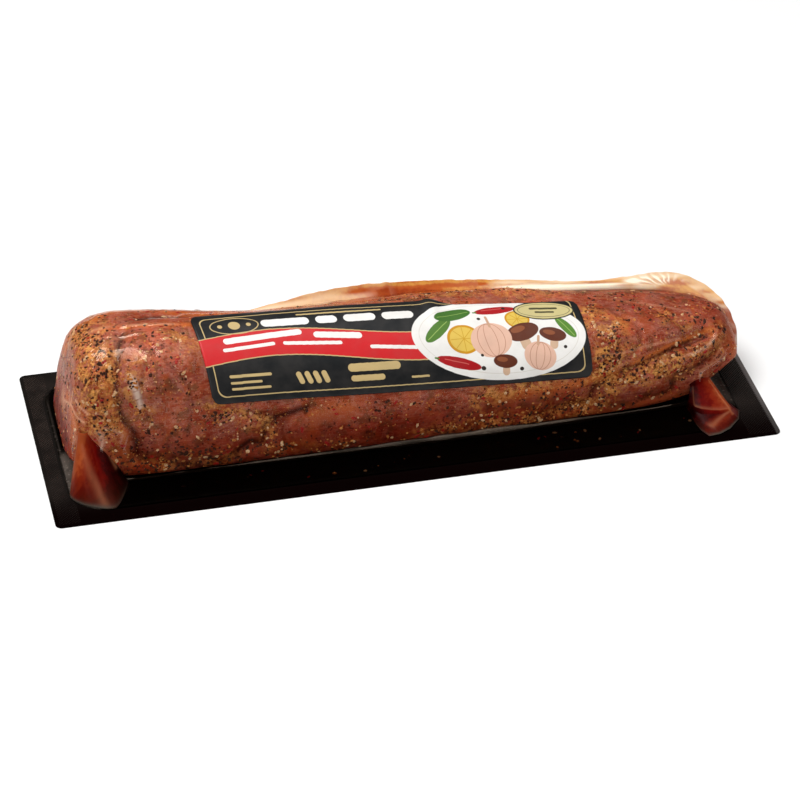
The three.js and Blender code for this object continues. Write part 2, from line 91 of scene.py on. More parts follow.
SEAMS = (
    (1.9, 3.2, ((-107.4, 0.54), (-110.5, 0.61), (-113.4, 0.79), (-111.6, 0.93),
                (-105.9, 1.0), (-95.2, 1.04), (-82.3, 1.11))),
    (1.6, 3.4, ((-40, 0.95), (-56, 1.0), (-68, 1.02), (-81.6, 1.2))),
    (1.9, 3.0, ((120.9, 0.71), (105.3, 0.82), (85.2, 0.936), (72.2, 1.0),
                (57.9, 1.02), (47, 1.2))),
    (1.3, 2.6, ((125.6, 0.86), (115.3, 0.97), (105, 1.0), (90.7, 1.01))),
    (1.4, 3.0, ((-98, 0.44), (-40, 0.36), (14, 0.40))),
)

# Rounded swellings of the meat: x, turn, height and radius

SWELLINGS = (
    (-92, 0.8, 1.3, 15), (-62, 1.05, 0.9, 14), (-20, 1.06, 0.7, 18), (88, 0.7, 0.9, 13),
    (98, 1.04, 0.8, 12), (-30, 0.2, 1.2, 20), (50, 0.15, 1.0, 22), (-95, 0.15, 1.2, 18),
)

# Where the film draws the meat back from its lower ends: the way each slanting plane faces,
# and how far out it lies

CUTS = (((0.5237, -0.5611, -0.6404), 69.9), ((-0.6735, -0.3104, -0.6711), 88.4))

# Fine seams between bundles of fibre: depth, width and path

FINE_SEAMS = (
    (0.7, 1.3, ((-100, 0.72), (-103, 0.86), (-99, 0.97), (-90, 1.02))),
    (0.6, 1.2, ((-92, 0.70), (-84, 0.85), (-86, 1.0))),
    (0.8, 1.4, ((-66, 0.93), (-54, 0.97), (-46, 1.04))),
    (0.6, 1.2, ((14, 0.93), (26, 0.985), (40, 1.04))),
    (0.7, 1.3, ((84, 0.56), (92, 0.68), (90, 0.80), (80, 0.90))),
    (0.7, 1.3, ((100, 0.52), (110, 0.66), (112, 0.8))),
    (1.0, 1.3, ((105, 0.835), (112, 0.81), (118, 0.78), (122, 0.755))),
)

# Strokes of seasoning paste: width, strength and path

PASTE = (
    (7.0, 1.0, ((-124, 0.44), (-123, 0.62), (-121.5, 0.76), (-121, 0.88), (-120, 0.97))),
    (5.0, 0.9, ((-117, 0.64), (-116, 0.78), (-116, 0.9), (-114, 0.98))),
    (4.0, 0.6, ((-104, 0.70), (-108, 0.79), (-105, 0.88), (-101, 0.93))),
    (4.2, 0.55, ((-117, 1.01), (-110, 1.03), (-98, 1.06), (-84, 1.06), (-70, 1.05))),
    (3.0, 0.8, ((-78, 0.90), (-70, 0.93), (-62, 0.97), (-56, 1.0), (-50, 1.03))),
    (3.0, 0.5, ((-52, 1.03), (-40, 1.04), (-22, 1.05))),
    (3.0, 0.5, ((-90, 0.56), (-84, 0.60), (-78, 0.66))),
    (1.8, 1.0, ((-107.6, 0.77), (-107, 0.81), (-105.6, 0.87))),
    (3.4, 0.9, ((2, 1.04), (16, 1.02), (30, 0.99), (44, 0.96), (56, 0.93), (72, 0.9))),
    (4.4, 1.0, ((24, 1.06), (46, 1.04), (62, 1.02), (78, 1.0), (92, 0.97), (106, 0.93))),
    (5.5, 1.0, ((74, 0.57), (80, 0.66), (79, 0.78), (76, 0.87), (73, 0.94))),
    (3.6, 0.5, ((104, 0.58), (112, 0.66), (117, 0.74))),
    (3.6, 0.6, ((112, 0.9), (122, 0.84), (128, 0.7))),
    (4.5, 0.5, ((-60, 0.42), (-20, 0.40), (24, 0.40), (66, 0.42))),
    (6.0, 0.8, ((-116, 0.1), (-90, 0.02), (-50, 0.0), (-10, -0.02))),
    (6.0, 0.8, ((20, 0.12), (60, 0.05), (100, 0.02))),
    (6.0, 0.6, ((-70, 0.22), (-20, 0.25), (40, 0.22))),
)

# The streak of silverskin on the end muscle: width and path

SILVERSKIN = (1.15, ((-106.0, 0.775), (-104.9, 0.82), (-103.6, 0.89)))

# Strokes with more cracked pepper than elsewhere

PEPPER = (
    (4.5, 1.0, ((-124, 0.45), (-121, 0.53), (-117, 0.60))),
    (3.0, 0.8, ((-121, 0.62), (-119, 0.74))),
    (3.0, 0.3, ((78, 0.74), (76, 0.82))),
    (2.6, 0.9, ((-77, 0.94), (-74, 0.95))),
    (2.6, 0.9, ((-90, 1.0), (-82, 1.01), (-76, 1.0))),
    (3.0, 0.7, ((104, 0.88), (112, 0.85))),
    (3.6, 0.7, ((-106, 1.03), (-92, 1.05), (-74, 1.05), (-58, 1.03))),
    (3.0, 0.6, ((92, 0.50), (98, 0.54), (108, 0.52))),
    (3.0, 0.6, ((118, 0.60), (124, 0.66), (126, 0.74))),
    (3.0, 0.6, ((40, 1.03), (56, 1.0), (68, 0.97))),
    (4.0, 0.4, ((-40, 0.44), (0, 0.42), (40, 0.42))),
)

# Strokes of clear orange marinade, caught where the film stands off the meat

OIL = (
    (3.2, 1.0, ((-127.6, 0.2), (-128.2, 0.37), (-125.7, 0.40), (-119.3, 0.41), (-111.3, 0.34),
                (-104, 0.33))),
    (2.6, 1.0, ((-128.5, 0.6), (-128.5, 0.8), (-128.2, 0.95), (-126, 1.05))),
    (2.4, 0.9, ((-128.4, 0.92), (-127.6, 1.0), (-126, 1.04))),
    (1.5, 0.9, ((-119, 0.492), (-98, 0.503), (-80, 0.516))),
    (2.6, 0.7, ((-104, 0.33), (-92, 0.36), (-74, 0.38), (-58, 0.37))),
    (2.0, 0.7, ((-114.6, 0.60), (-116.4, 0.78), (-114.4, 0.94), (-107, 1.02), (-95, 1.06))),
    (1.1, 1.0, ((123.6, 0.75), (122.9, 0.706), (113.5, 0.749), (106.5, 0.783), (98, 0.84),
                (88, 0.90))),
    (1.2, 0.6, ((124, 0.78), (120, 0.85), (114, 0.9))),
    (3.2, 1.0, ((133, 0.8), (131.2, 1.0), (128.6, 1.01), (124.3, 1.03), (119.8, 1.05),
                (114, 1.13))),
    (2.4, 0.9, ((125, 0.24), (131, 0.32), (133.6, 0.5), (133.2, 0.75))),
    (2.6, 0.8, ((72, 0.60), (84, 0.60), (86, 0.68))),
    (2.4, 0.8, ((30, 1.0), (55, 0.985), (80, 0.95))),
    (3.0, 0.6, ((60, 1.08), (90, 1.07), (108, 1.05))),
    (3.5, 0.6, ((-50, 1.02), (-38, 1.0), (-26, 0.97))),
    (4.0, 0.5, ((-60, 0.10), (0, 0.06), (60, 0.08))),
)

# Creases of the film: height, width and path. On the meat they are also painted as pale highlight
# lines

CREASES = (
    (0.7, 0.7, ((-126, 0.488), (-116, 0.490), (-98, 0.501), (-80, 0.514))),
    (0.4, 0.5, ((-119, 0.53), (-106, 0.545), (-92, 0.55))),
    (0.3, 0.4, ((-96, 0.54), (-88, 0.565), (-82, 0.60))),
    (0.3, 0.4, ((-114, 0.44), (-100, 0.46), (-88, 0.47))),
    (0.6, 0.6, ((-128.2, 0.90), (-127, 1.0), (-125, 1.06))),
    (0.6, 0.6, ((-128.2, 0.84), (-126, 0.93), (-123.4, 0.99))),
    (0.5, 0.6, ((-127.6, 0.95), (-126.6, 1.04), (-124, 1.1))),
    (0.9, 0.8, ((-123.1, 0.99), (-118, 1.0), (-113, 1.05), (-109, 1.12))),
    (0.45, 0.6, ((-122, 0.97), (-114, 0.985), (-104, 1.03))),
    (0.5, 0.6, ((-90, 0.60), (-86, 0.68), (-84, 0.76))),
    (0.5, 0.7, ((74, 0.46), (92, 0.50), (110, 0.53), (122, 0.60))),
    (0.5, 0.6, ((96, 0.46), (108, 0.49), (119, 0.53))),
    (0.7, 0.7, ((128, 0.66), (124, 0.78), (117, 0.86), (104, 0.90))),
    (0.7, 0.7, ((131, 0.85), (125, 0.95), (116, 1.0), (104, 1.02))),
    (0.5, 0.6, ((129, 0.74), (126, 0.88), (120, 0.98), (114, 1.06))),
    (0.4, 0.6, ((60, 0.86), (80, 0.83), (100, 0.78), (116, 0.74))),
    (0.6, 0.7, ((-40, 0.34), (10, 0.33), (60, 0.31), (100, 0.33))),
    (0.6, 0.7, ((-120, 0.25), (-80, 0.2), (-30, 0.22))),
    (0.6, 0.7, ((40, 0.12), (80, 0.1), (124, 0.16))),
    (0.6, 0.7, ((-123, 0.08), (-112, -0.02), (-96, -0.06))),
)

# Painted highlights: pale streaks where the film is pleated over the left end: width and path

STREAKS = (
    (0.5, ((-128.2, 0.80), (-128.5, 0.93), (-128.5, 0.99))),
    (0.45, ((-128.5, 0.89), (-127.9, 0.93), (-126.5, 0.955), (-124.6, 0.965))),
    (0.4, ((-127.6, 0.86), (-126, 0.9), (-123.5, 0.93))),
)

# Strokes of milky film along the crest

VEILS = (
    (2.6, 1.0, ((60, 0.42), (80, 0.405), (99.6, 0.415), (112, 0.43), (124, 0.43))),
    (2.0, 0.9, ((-118, 0.465), (-100, 0.475), (-84, 0.48))),
    (1.6, 0.8, ((-127.6, 0.62), (-127.4, 0.46), (-121, 0.405), (-108, 0.36))),
    (1.6, 0.6, ((-40, 0.38), (-10, 0.375), (40, 0.39))),
)

# The ridge of spare film: x, y, z on the body, its height there, and half its width. It stands
# away from a core line inside the meat

RIDGE = {"sunk": 2.5, "edge": 0.5, "rings": 440, "around": 96}
RIDGE_PATH = (
    (-54, 15.5, 41.6, 0.2, 1.0), (-42, 15, 41.2, 2.4, 2.7), (-28, 14.5, 41.0, 5.0, 3.4),
    (-6, 15.5, 40.0, 6.0, 3.4), (22, 17, 38.2, 5.0, 3.6), (52, 16.8, 35.3, 4.0, 6.0),
    (80, 16.6, 32.1, 3.2, 8.4), (98, 16, 30.2, 4.9, 7.4), (112, 14.5, 28.6, 7.3, 4.8),
    (122, 11, 26.6, 6.8, 3.6), (128.6, 4, 24.8, 4.6, 3.2), (131.8, -5, 21.0, 3.0, 3.0),
    (132.6, -11, 15.0, 1.6, 2.0),
)
CORE = {"from": -90.0, "to": 96.0, "z": 14.0}

# How pale and how deep in marinade the ridge is along x, and the white streak of painted reflection
# at its foot

RIDGE_PALE = ((-50, 0.38), (-20, 0.32), (-6, 0.18), (4, 0), (22, 0), (40, 0.06), (52, 0.3),
              (88, 0.3), (96, 0.45), (112, 0.45), (118, 0.3), (126, 0.24), (134, 0.1))
RIDGE_DEEP = ((-50, 0.0), (-16, 0.1), (0, 0.5), (16, 0.5), (28, 0.25), (60, 0.2), (90, 0.05),
              (118, 0.1), (134, 0.2))
RIDGE_STREAK = ((40, 0), (50, 1.7), (86, 1.7), (96, 0))

# The ears of film at the corners: nets of x, y, z, tone and veil, from the foot up to the
# body, with tone 0 a light orange and 1 nearly black, and veil the share of bare brown film

# Tones near 1 are painted shade on the faces of the ears that are turned from the light.
EAR_NETS = {
    "left": (
        ((-131.2, -29, 1, 0.35, 0.3), (-132, -34.1, 1, 0.4, 0.3), (-129.8, -38.4, 1, 0.6, 0.4),
         (-125.9, -41.9, 1, 0.7, 0.7), (-121.7, -44.3, 1, 0.7, 0.7), (-117.8, -45, 1, 0.8, 0.6),
         (-115, -42.9, 1, 0.95, 0.3), (-109, -31, 1, 1.0, 0)),
        ((-129.3, -26.2, 9, 0.0, 0.35), (-129.9, -29.4, 9, 0.05, 0.3),
         (-128.6, -33.0, 9, 0.2, 0.1), (-125.6, -34.8, 9, 0.36, 0.2),
         (-122.0, -33.4, 9, 0.45, 0.1), (-119.8, -34.6, 9, 0.56, 0.1),
         (-117.0, -32.4, 9, 0.75, 0), (-113.6, -27.6, 9, 0.9, 0)),
        ((-127.2, -23.2, 17, 0.0, 0.3), (-127.3, -24.6, 17, 0.0, 0.25),
         (-126.4, -26.2, 17, 0.0, 0.1), (-124.9, -26.8, 17, 0.12, 0),
         (-123.3, -26.6, 17, 0.32, 0), (-121.6, -27.2, 17, 0.48, 0),
         (-119.8, -26.6, 17, 0.6, 0), (-118.0, -25.0, 17, 0.65, 0.2)),
        ((-126.6, -23.2, 22.5, 0.0, 0.1), (-126.2, -23.9, 22.5, 0.0, 0),
         (-125.7, -24.4, 22.5, 0.0, 0), (-125.1, -24.7, 22.5, 0.05, 0),
         (-124.5, -24.9, 22.5, 0.1, 0), (-123.9, -24.9, 22.5, 0.15, 0),
         (-123.2, -24.6, 22.5, 0.2, 0), (-122.6, -24.0, 22.5, 0.3, 0.2)),
    ),
    "right": (
        ((124.7, -24.4, 1, 0.9, 0.3), (128.4, -34.3, 1, 0.8, 0.3), (126.6, -39.8, 1, 0.8, 0.3),
         (121.5, -45.4, 1, 0.8, 0.4), (116.7, -48.0, 1, 0.6, 0.6), (112.3, -48.4, 1, 0.6, 0.6),
         (110.3, -44, 1, 0.9, 0.2), (108, -30, 1, 1.0, 0)),
        ((124.3, -25.0, 1.8, 0.9, 0.1), (127.2, -34.8, 2.0, 0.7, 0), (124.4, -39.6, 3.6, 0.3, 0.3),
         (119.2, -43.0, 3.2, 0.3, 0.3), (115.0, -44.2, 2.4, 0.35, 0.3),
         (111.8, -41.0, 1.7, 0.7, 0.1), (110.0, -36.8, 1.6, 0.92, 0), (108.4, -29.8, 1.6, 1, 0)),
        ((123.0, -26.2, 3.6, 0.7, 0.1), (124.8, -37.0, 4.2, 0.55, 0.1),
         (123.5, -39.0, 4.6, 0.2, 0.5), (119.8, -39.2, 3.8, 0.6, 0.1),
         (116.2, -38.6, 3.5, 0.66, 0), (112.6, -37.0, 3.3, 0.8, 0),
         (110.4, -34.4, 3.5, 0.9, 0), (109.0, -29.2, 4, 1.0, 0)),
        ((122.4, -26.0, 5.0, 0.3, 0.2), (123.8, -36.2, 5.2, 0.1, 0.3),
         (123.2, -38.2, 5.3, 0.05, 0.4), (119.6, -38.0, 5.0, 0.3, 0), (116.2, -37.0, 5.0, 0.46, 0),
         (112.8, -35.4, 5.0, 0.55, 0), (110.9, -33.6, 5.0, 0.75, 0), (109.4, -29.0, 5, 0.95, 0)),
        ((119.8, -22.4, 9.4, 0.05, 0.3), (119.6, -23.0, 9.4, 0.05, 0.3),
         (119.0, -23.6, 9.2, 0.15, 0.1), (117.6, -24.2, 9.0, 0.3, 0),
         (116.0, -24.6, 8.8, 0.45, 0), (114.4, -24.9, 8.6, 0.58, 0),
         (112.8, -25.0, 8.4, 0.76, 0), (111.2, -24.8, 8.2, 0.85, 0)),
        ((119.4, -20.6, 11.0, 0.3, 0), (119.2, -21.0, 11.0, 0.3, 0), (118.6, -21.6, 11, 0.3, 0),
         (117.6, -22.2, 11.0, 0.35, 0), (116.0, -22.6, 11, 0.45, 0), (114.4, -22.9, 11, 0.55, 0),
         (112.8, -23.0, 11, 0.7, 0), (111.2, -22.8, 11, 0.8, 0)),
    ),
}

# Painted highlights along the folded edges of the ears: from, to (each across and up the net),
# width and strength

EAR_EDGES = {
    "left": (((0.1, 0), (0.1, 1), 0.03, 0.3), ((0.97, 0.3), (0.97, 1), 0.02, 0.3),
             ((0.36, 0.7), (0.62, 0.05), 0.06, 0.22)),
    "right": (((0.29, 0.2), (0.29, 0.8), 0.016, 0.35), ((0.86, 0.6), (0.3, 0.6), 0.016, 0.25),
              ((0.6, 0.2), (0.3, 0.42), 0.05, 0.3), ((0.88, 0.6), (0.9, 0.8), 0.015, 0.15)),
}

# Each ear: its net, whether its folds are crisp, and the scale and move to its corner. Each is
# a sheet of this many columns and rows

EARS = (
    ("front_left", "left", False, (1, 1, 1), (0, 0, 0)),
    ("front_right", "right", True, (1, 1, 1), (0, 0, 0)),
    ("back_left", "left", False, (1, -0.99, 0.9), (7.5, 0, 0.1)),
    ("back_right", "left", False, (-1, -0.99, 0.7), (-4.2, 0, 0.3)),
)
EAR_GRID = (112, 72)

# The thin fold of film along the front foot: x, y, z, half width, half height

FOOT_FOLD = (
    (-121.5, -28.6, 12.0, 0.2, 0.3), (-117, -29.8, 7.4, 0.3, 0.4),
    (-112, -29.8, 3.6, 0.3, 0.4), (-107, -29.3, 1.9, 0.3, 0.4), (-96, -29.1, 1.8, 0.3, 0.45),
    (-60, -29.1, 1.9, 0.4, 0.7), (-20, -29.1, 2.0, 0.8, 1.1), (26, -28.8, 2.0, 1.1, 1.5),
    (58, -28.3, 1.9, 0.7, 1.0), (90, -27.6, 1.9, 0.45, 0.8), (106, -26.8, 2.1, 0.4, 0.7),
    (112, -25.9, 2.7, 0.4, 0.6), (116, -24.9, 3.9, 0.3, 0.4),
)

# The label: a rectangle wrapped on the body, measured along the surface from its lower edge

LABEL = {"columns": 180, "rows": 60, "left": -76.0, "slant": -3.5, "right": 71.0, "width": 38.4,
         "lower": (30.0, 20.5), "corner": 3.0, "upper_y": 6.0, "lift": 0.8,
         "tuck": 3.4, "tuck_from": 92.0, "tuck_over": 9.0}
LABEL_LENGTH = LABEL["right"] - LABEL["left"]


def colour(code):
    """A colour as the shaders read it, from six hexadecimal digits."""
    parts = [int(code[i:i + 2], 16) / 255 for i in (0, 2, 4)]
    return tuple(c / 12.92 if c <= 0.04045 else ((c + 0.055) / 1.055) ** 2.4 for c in parts)


# Shapes along the body


def ease(t):
    """A smooth step from 0 to 1 as t goes from 0 to 1."""
    k = np.clip(t, 0, 1)
    return k * k * (3 - 2 * k)


def follow(x, stops):
    """Values between a few stops of x and value."""
    return np.interp(x, *zip(*stops))


def travelled_along(line):
    """How far along a line each of its points lies."""
    return np.concatenate([[0], np.cumsum(np.linalg.norm(np.diff(line, axis=0), axis=1))])


def line_at(line, at, stops):
    """A line's columns at these stops, where its own points lie at these values."""
    return np.stack([np.interp(stops, at, column) for column in line.T], 1)


def along(column, x):
    """A smooth value through the cross-sections, level beyond the first and the last."""
    s, v = SECTIONS[:, 0], SECTIONS[:, column]
    slope = np.zeros(len(s))
    slope[1:-1] = (v[2:] - v[:-2]) / (s[2:] - s[:-2])
    i = np.clip(np.searchsorted(s, x, side="right") - 1, 0, len(s) - 2)
    span = s[i + 1] - s[i]
    t = np.clip((x - s[i]) / span, 0, 1)
    level = v[i] * (1 - ease(t)) + v[i + 1] * ease(t)
    return level + span * t * (1 - t) * (slope[i] * (1 - t) - slope[i + 1] * t)


def end_ease(turn, end):
    """How roundly an end closes at this turn, between its eases above and below."""
    down = ease(0.5 - np.sin(turn * np.pi))
    return end[1] * (1 - down) + end[2] * down


def closing(x, turn):
    """How far the section at x is open: 1 in the middle, 0 at the ends."""
    reach = np.clip((x - MIDDLE) / HALF, -1, 1)
    e = np.where(reach < 0, end_ease(turn, ENDS[0]), end_ease(turn, ENDS[1]))
    return (1 - np.abs(reach) ** (2 / e)) ** (e / 2)


def signed_power(value, exponent):
    """A power that keeps the sign of the value."""
    return np.sign(value) * np.abs(value) ** exponent


def body_point(x, turn):
    """Points of the body's smooth surface at x and turn."""
    x, turn = np.broadcast_arrays(np.asarray(x, float), np.asarray(turn, float))
    opened = closing(x, turn)
    crest, front, back = (along(k, x) for k in (1, 2, 3))
    sine, cosine = np.sin(turn * np.pi), np.cos(turn * np.pi)
    upper = np.where(cosine < 0, along(4, x), along(5, x))
    lower = np.where(cosine < 0, LOWER["front"], LOWER["back"])
    shoulder = np.where(sine < 0, lower, upper)
    share = LOWER["share"]
    tall = (crest - FLOOR) * np.where(sine < 0, share, 1 - share)
    y = (front + back) / 2 + opened * (back - front) / 2 * signed_power(cosine, shoulder)
    z = FLOOR + (crest - FLOOR) * share + opened * tall * signed_power(sine, shoulder)
    lean = np.where(x < 0, ENDS[0][3], ENDS[1][3])
    leaning = ease((np.abs(x) - LEAN["from"]) / (LEAN["full"] - LEAN["from"]))
    return np.stack([x + np.sign(x) * lean * leaning * (LEAN["level"] - z / crest), y, z], -1)


def station(s, turn):
    """The body's x at a share s of the way along, with more of the share at the ends."""
    last, end = math.radians(58), 0.25
    left = np.clip(s / end, 0, 1) * last
    right = np.clip((1 - s) / end, 0, 1) * last
    x_left = MIDDLE - HALF * np.cos(left) ** end_ease(turn, ENDS[0])
    x_right = MIDDLE + HALF * np.cos(right) ** end_ease(turn, ENDS[1])
    t = np.clip((s - end) / (1 - 2 * end), 0, 1)
    return x_left + t * (x_right - x_left)


def even_turns(quarters, at=0.0):
    """Turns round the section at x, with this many evenly spaced in each quarter."""
    result = []
    for quarter, count in enumerate(quarters):
        turn = (quarter + np.linspace(0, 1, 400)) / 2
        travelled = travelled_along(body_point(at, turn))
        stops = np.linspace(0, travelled[-1], count, endpoint=False)
        result.append(np.interp(stops, travelled, turn))
    return np.concatenate(result)


def even_stations(turns, rings):
    """For each turn, x of this many rings, evenly spaced over the body's length."""
    share = np.linspace(0, 1, 900)
    result = np.empty((rings, len(turns)))
    for k, turn in enumerate(turns):
        x = station(share, turn)
        travelled = travelled_along(body_point(x, turn))
        stops = np.linspace(0, travelled[-1], rings)
        result[:, k] = np.interp(stops, travelled, x)
    return result


def smooth_line(points, steps=8):
    """A dense smooth line through a few points."""
    p = np.asarray(points, float)
    p = np.vstack([2 * p[0] - p[1], p, 2 * p[-1] - p[-2]])
    t = np.linspace(0, 1, steps, endpoint=False)[:, None]
    parts = []
    for a, b, c, d in zip(p[:-3], p[1:-2], p[2:-1], p[3:]):
        parts.append(0.5 * (2 * b + (c - a) * t + (2 * a - 5 * b + 4 * c - d) * t ** 2
                            + (3 * b - a - 3 * c + d) * t ** 3))
    return np.vstack(parts + [p[-2:-1]])


def body_line(path):
    """A dense line on the body through a path of x and turn."""
    line = smooth_line(path)
    return body_point(line[:, 0], line[:, 1])


def distance_to(points, line, reach):
    """How far each point is from a line of many steps, or a long way if beyond this reach."""
    low, high = line.min(axis=0) - reach, line.max(axis=0) + reach
    close = np.flatnonzero(np.all((points > low) & (points < high), axis=1))
    p = points[close]
    best = np.full(len(p), 1e9)
    for a, b in zip(line[:-1], line[1:]):
        way = b - a
        t = np.clip((p - a) @ way / max(way @ way, 1e-9), 0, 1)
        best = np.minimum(best, np.linalg.norm(p - a - t[:, None] * way, axis=1))
    result = np.full(len(points), 1e9)
    result[close] = best
    return result


def bell(distance, width):
    """1 at no distance, falling to nothing at about twice this width."""
    return np.exp(-(distance / width) ** 2)


def lattice(ix, iy, iz, seed):
    """A steady but mixed-up value from 0 to 1 at each whole place."""
    n = (ix * 374761393 + iy * 668265263 + iz * 1442695041 + seed * 97531) & 0xFFFFFFFF
    n = ((n ^ (n >> 13)) * 1274126177) & 0xFFFFFFFF
    return ((n ^ (n >> 16)) & 0xFFFF) / 65535


def noise(points, size, seed=0):
    """Smooth values from -1 to 1 with features of this size, or of three sizes for x, y, z."""
    p = points / np.asarray(size, float)
    base = np.floor(p).astype(np.int64)
    f = ease(p - base)
    total = np.zeros(len(p))
    for corner in itertools.product((0, 1), repeat=3):
        share = np.prod([f[:, k] if c else 1 - f[:, k] for k, c in enumerate(corner)], axis=0)
        total += share * lattice(*(base + corner).T, seed)
    return total * 2 - 1


def under_label(points, margin):
    """1 under the label, falling to 0 this far outside it."""
    x, y, z = points.T
    lower = np.interp(x, (LABEL["left"], LABEL["right"]), LABEL["lower"])
    inside = np.minimum.reduce([
        x - LABEL["left"] - LABEL["slant"], LABEL["right"] - x,
        z - lower, LABEL["upper_y"] - y,
    ])
    return ease((inside + margin) / margin)


def muscle_relief(points):
    """Height of the muscles over the smooth body, with their seams."""
    height = np.zeros(len(points))
    for depth, width, path in SEAMS + FINE_SEAMS:
        height -= depth * bell(distance_to(points, body_line(path), width * 3), width)
    for x, turn, tall, radius in SWELLINGS:
        away = np.linalg.norm(points - body_point(x, turn), axis=1)
        height += tall * bell(away, radius)
    return height


def drawn_back(points, inset):
    """Points beyond the slanting planes brought back to them, with a soft edge."""
    for facing, out in CUTS:
        beyond = points @ np.array(facing) - out + inset
        back = (beyond + np.sqrt(beyond ** 2 + 1.0)) / 2
        points = points - back[:, None] * facing * (back > 0.02)[:, None]
    return points


def seam_depth(points):
    """How deep in a seam each point lies, from 0 to 1."""
    deep = np.zeros(len(points))
    for depth, width, path in SEAMS + FINE_SEAMS:
        near = bell(distance_to(points, body_line(path), width * 3), width * 0.45)
        deep = np.maximum(deep, min(1, depth / 1.6) * near)
    return deep


def stroke(points, strokes):
    """Strength of the nearest brushed stroke at each point, with a broken edge."""
    ragged = 1 + 0.35 * noise(points, 3.0, 5) + 0.3 * noise(points, 7.0, 6)
    strength = np.zeros(len(points))
    for width, power, path in strokes:
        near = distance_to(points, body_line(path), width * 5) * ragged
        strength = np.maximum(strength, power * bell(near, width))
    return strength


# Making meshes


def clear_selection():
    if bpy.context.object and bpy.context.object.mode != "OBJECT":
        bpy.ops.object.mode_set(mode="OBJECT")
    bpy.ops.object.select_all(action="DESELECT")


def named(name):
    """The newest object, under this name."""
    obj = bpy.context.object
    obj.name = name
    obj.data.name = name
    return obj


def read(mesh, key="co"):
    """The places of a mesh's points, or their normals."""
    values = np.empty(len(mesh.vertices) * 3, np.float32)
    mesh.vertices.foreach_get(key, values)
    return values.reshape(-1, 3).astype(float)


def write(mesh, points):
    """Moves a mesh's points to these places, given in millimetres."""
    mesh.vertices.foreach_set("co", (points * MM).astype(np.float32).ravel())
    mesh.update()


def layer(mesh, name, values):
    """Keeps one number at each point, for the finish to read."""
    kept = mesh.attributes.new(name, "FLOAT", "POINT")
    kept.data.foreach_set("value", np.asarray(values, np.float32))


def select_only(obj):
    clear_selection()
    obj.select_set(True)
    bpy.context.view_layer.objects.active = obj


def face_outwards(obj):
    select_only(obj)
    bpy.ops.object.mode_set(mode="EDIT")
    bpy.ops.mesh.select_all(action="SELECT")
    bpy.ops.mesh.normals_make_consistent(inside=False)
    bpy.ops.object.mode_set(mode="OBJECT")


def apply_modifier(obj, kind, **choices):
    select_only(obj)
    modifier = obj.modifiers.new(kind.title(), kind)
    for key, value in choices.items():
        setattr(modifier, key, value)
    bpy.ops.object.modifier_apply(modifier=modifier.name)


def sheet(name, columns, rows, place):
    """An open grid with its points at place(u, v), u and v from 0 to 1."""
    clear_selection()
    bpy.ops.mesh.primitive_grid_add(x_subdivisions=columns, y_subdivisions=rows, size=1)
    obj = named(name)
    flat = read(obj.data) + 0.5
    write(obj.data, place(flat[:, 0], flat[:, 1]))
    return obj


def sort_faces(mesh):
    """Puts a new sphere's faces in one order, because Blender gives them a new one each run."""
    points, faces = read(mesh), []
    for face in mesh.polygons:
        corners = tuple(face.vertices)
        first = corners.index(min(corners))
        faces.append(corners[first:] + corners[:first])
    mesh.clear_geometry()
    mesh.from_pydata(points.tolist(), [], sorted(faces))


def pod(name, around, rings, place):
    """A closed loft with its points at place(k, r): k counts round it, r along it."""
    clear_selection()
    bpy.ops.mesh.primitive_uv_sphere_add(segments=around, ring_count=rings, radius=1)
    obj = named(name)
    sort_faces(obj.data)
    p = read(obj.data)
    r = np.rint(np.arccos(np.clip(p[:, 2], -1, 1)) / np.pi * rings).astype(int)
    k = np.rint(np.arctan2(p[:, 1], p[:, 0]) / (2 * np.pi) * around).astype(int) % around
    write(obj.data, place(k, r))
    face_outwards(obj)
    return obj


def finish_piece(obj, finish, replaced=(), smooth=True):
    """Gives a piece its finish and its body, and hides the imported parts that it stands for."""
    obj.data.materials.clear()
    obj.data.materials.append(finish)
    obj.data.polygons.foreach_set("use_smooth", [smooth] * len(obj.data.polygons))
    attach(obj, "root")
    if replaced:
        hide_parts(*replaced)


def settings():
    return bpy.context.scene.tenderloin_pack


# Finishes


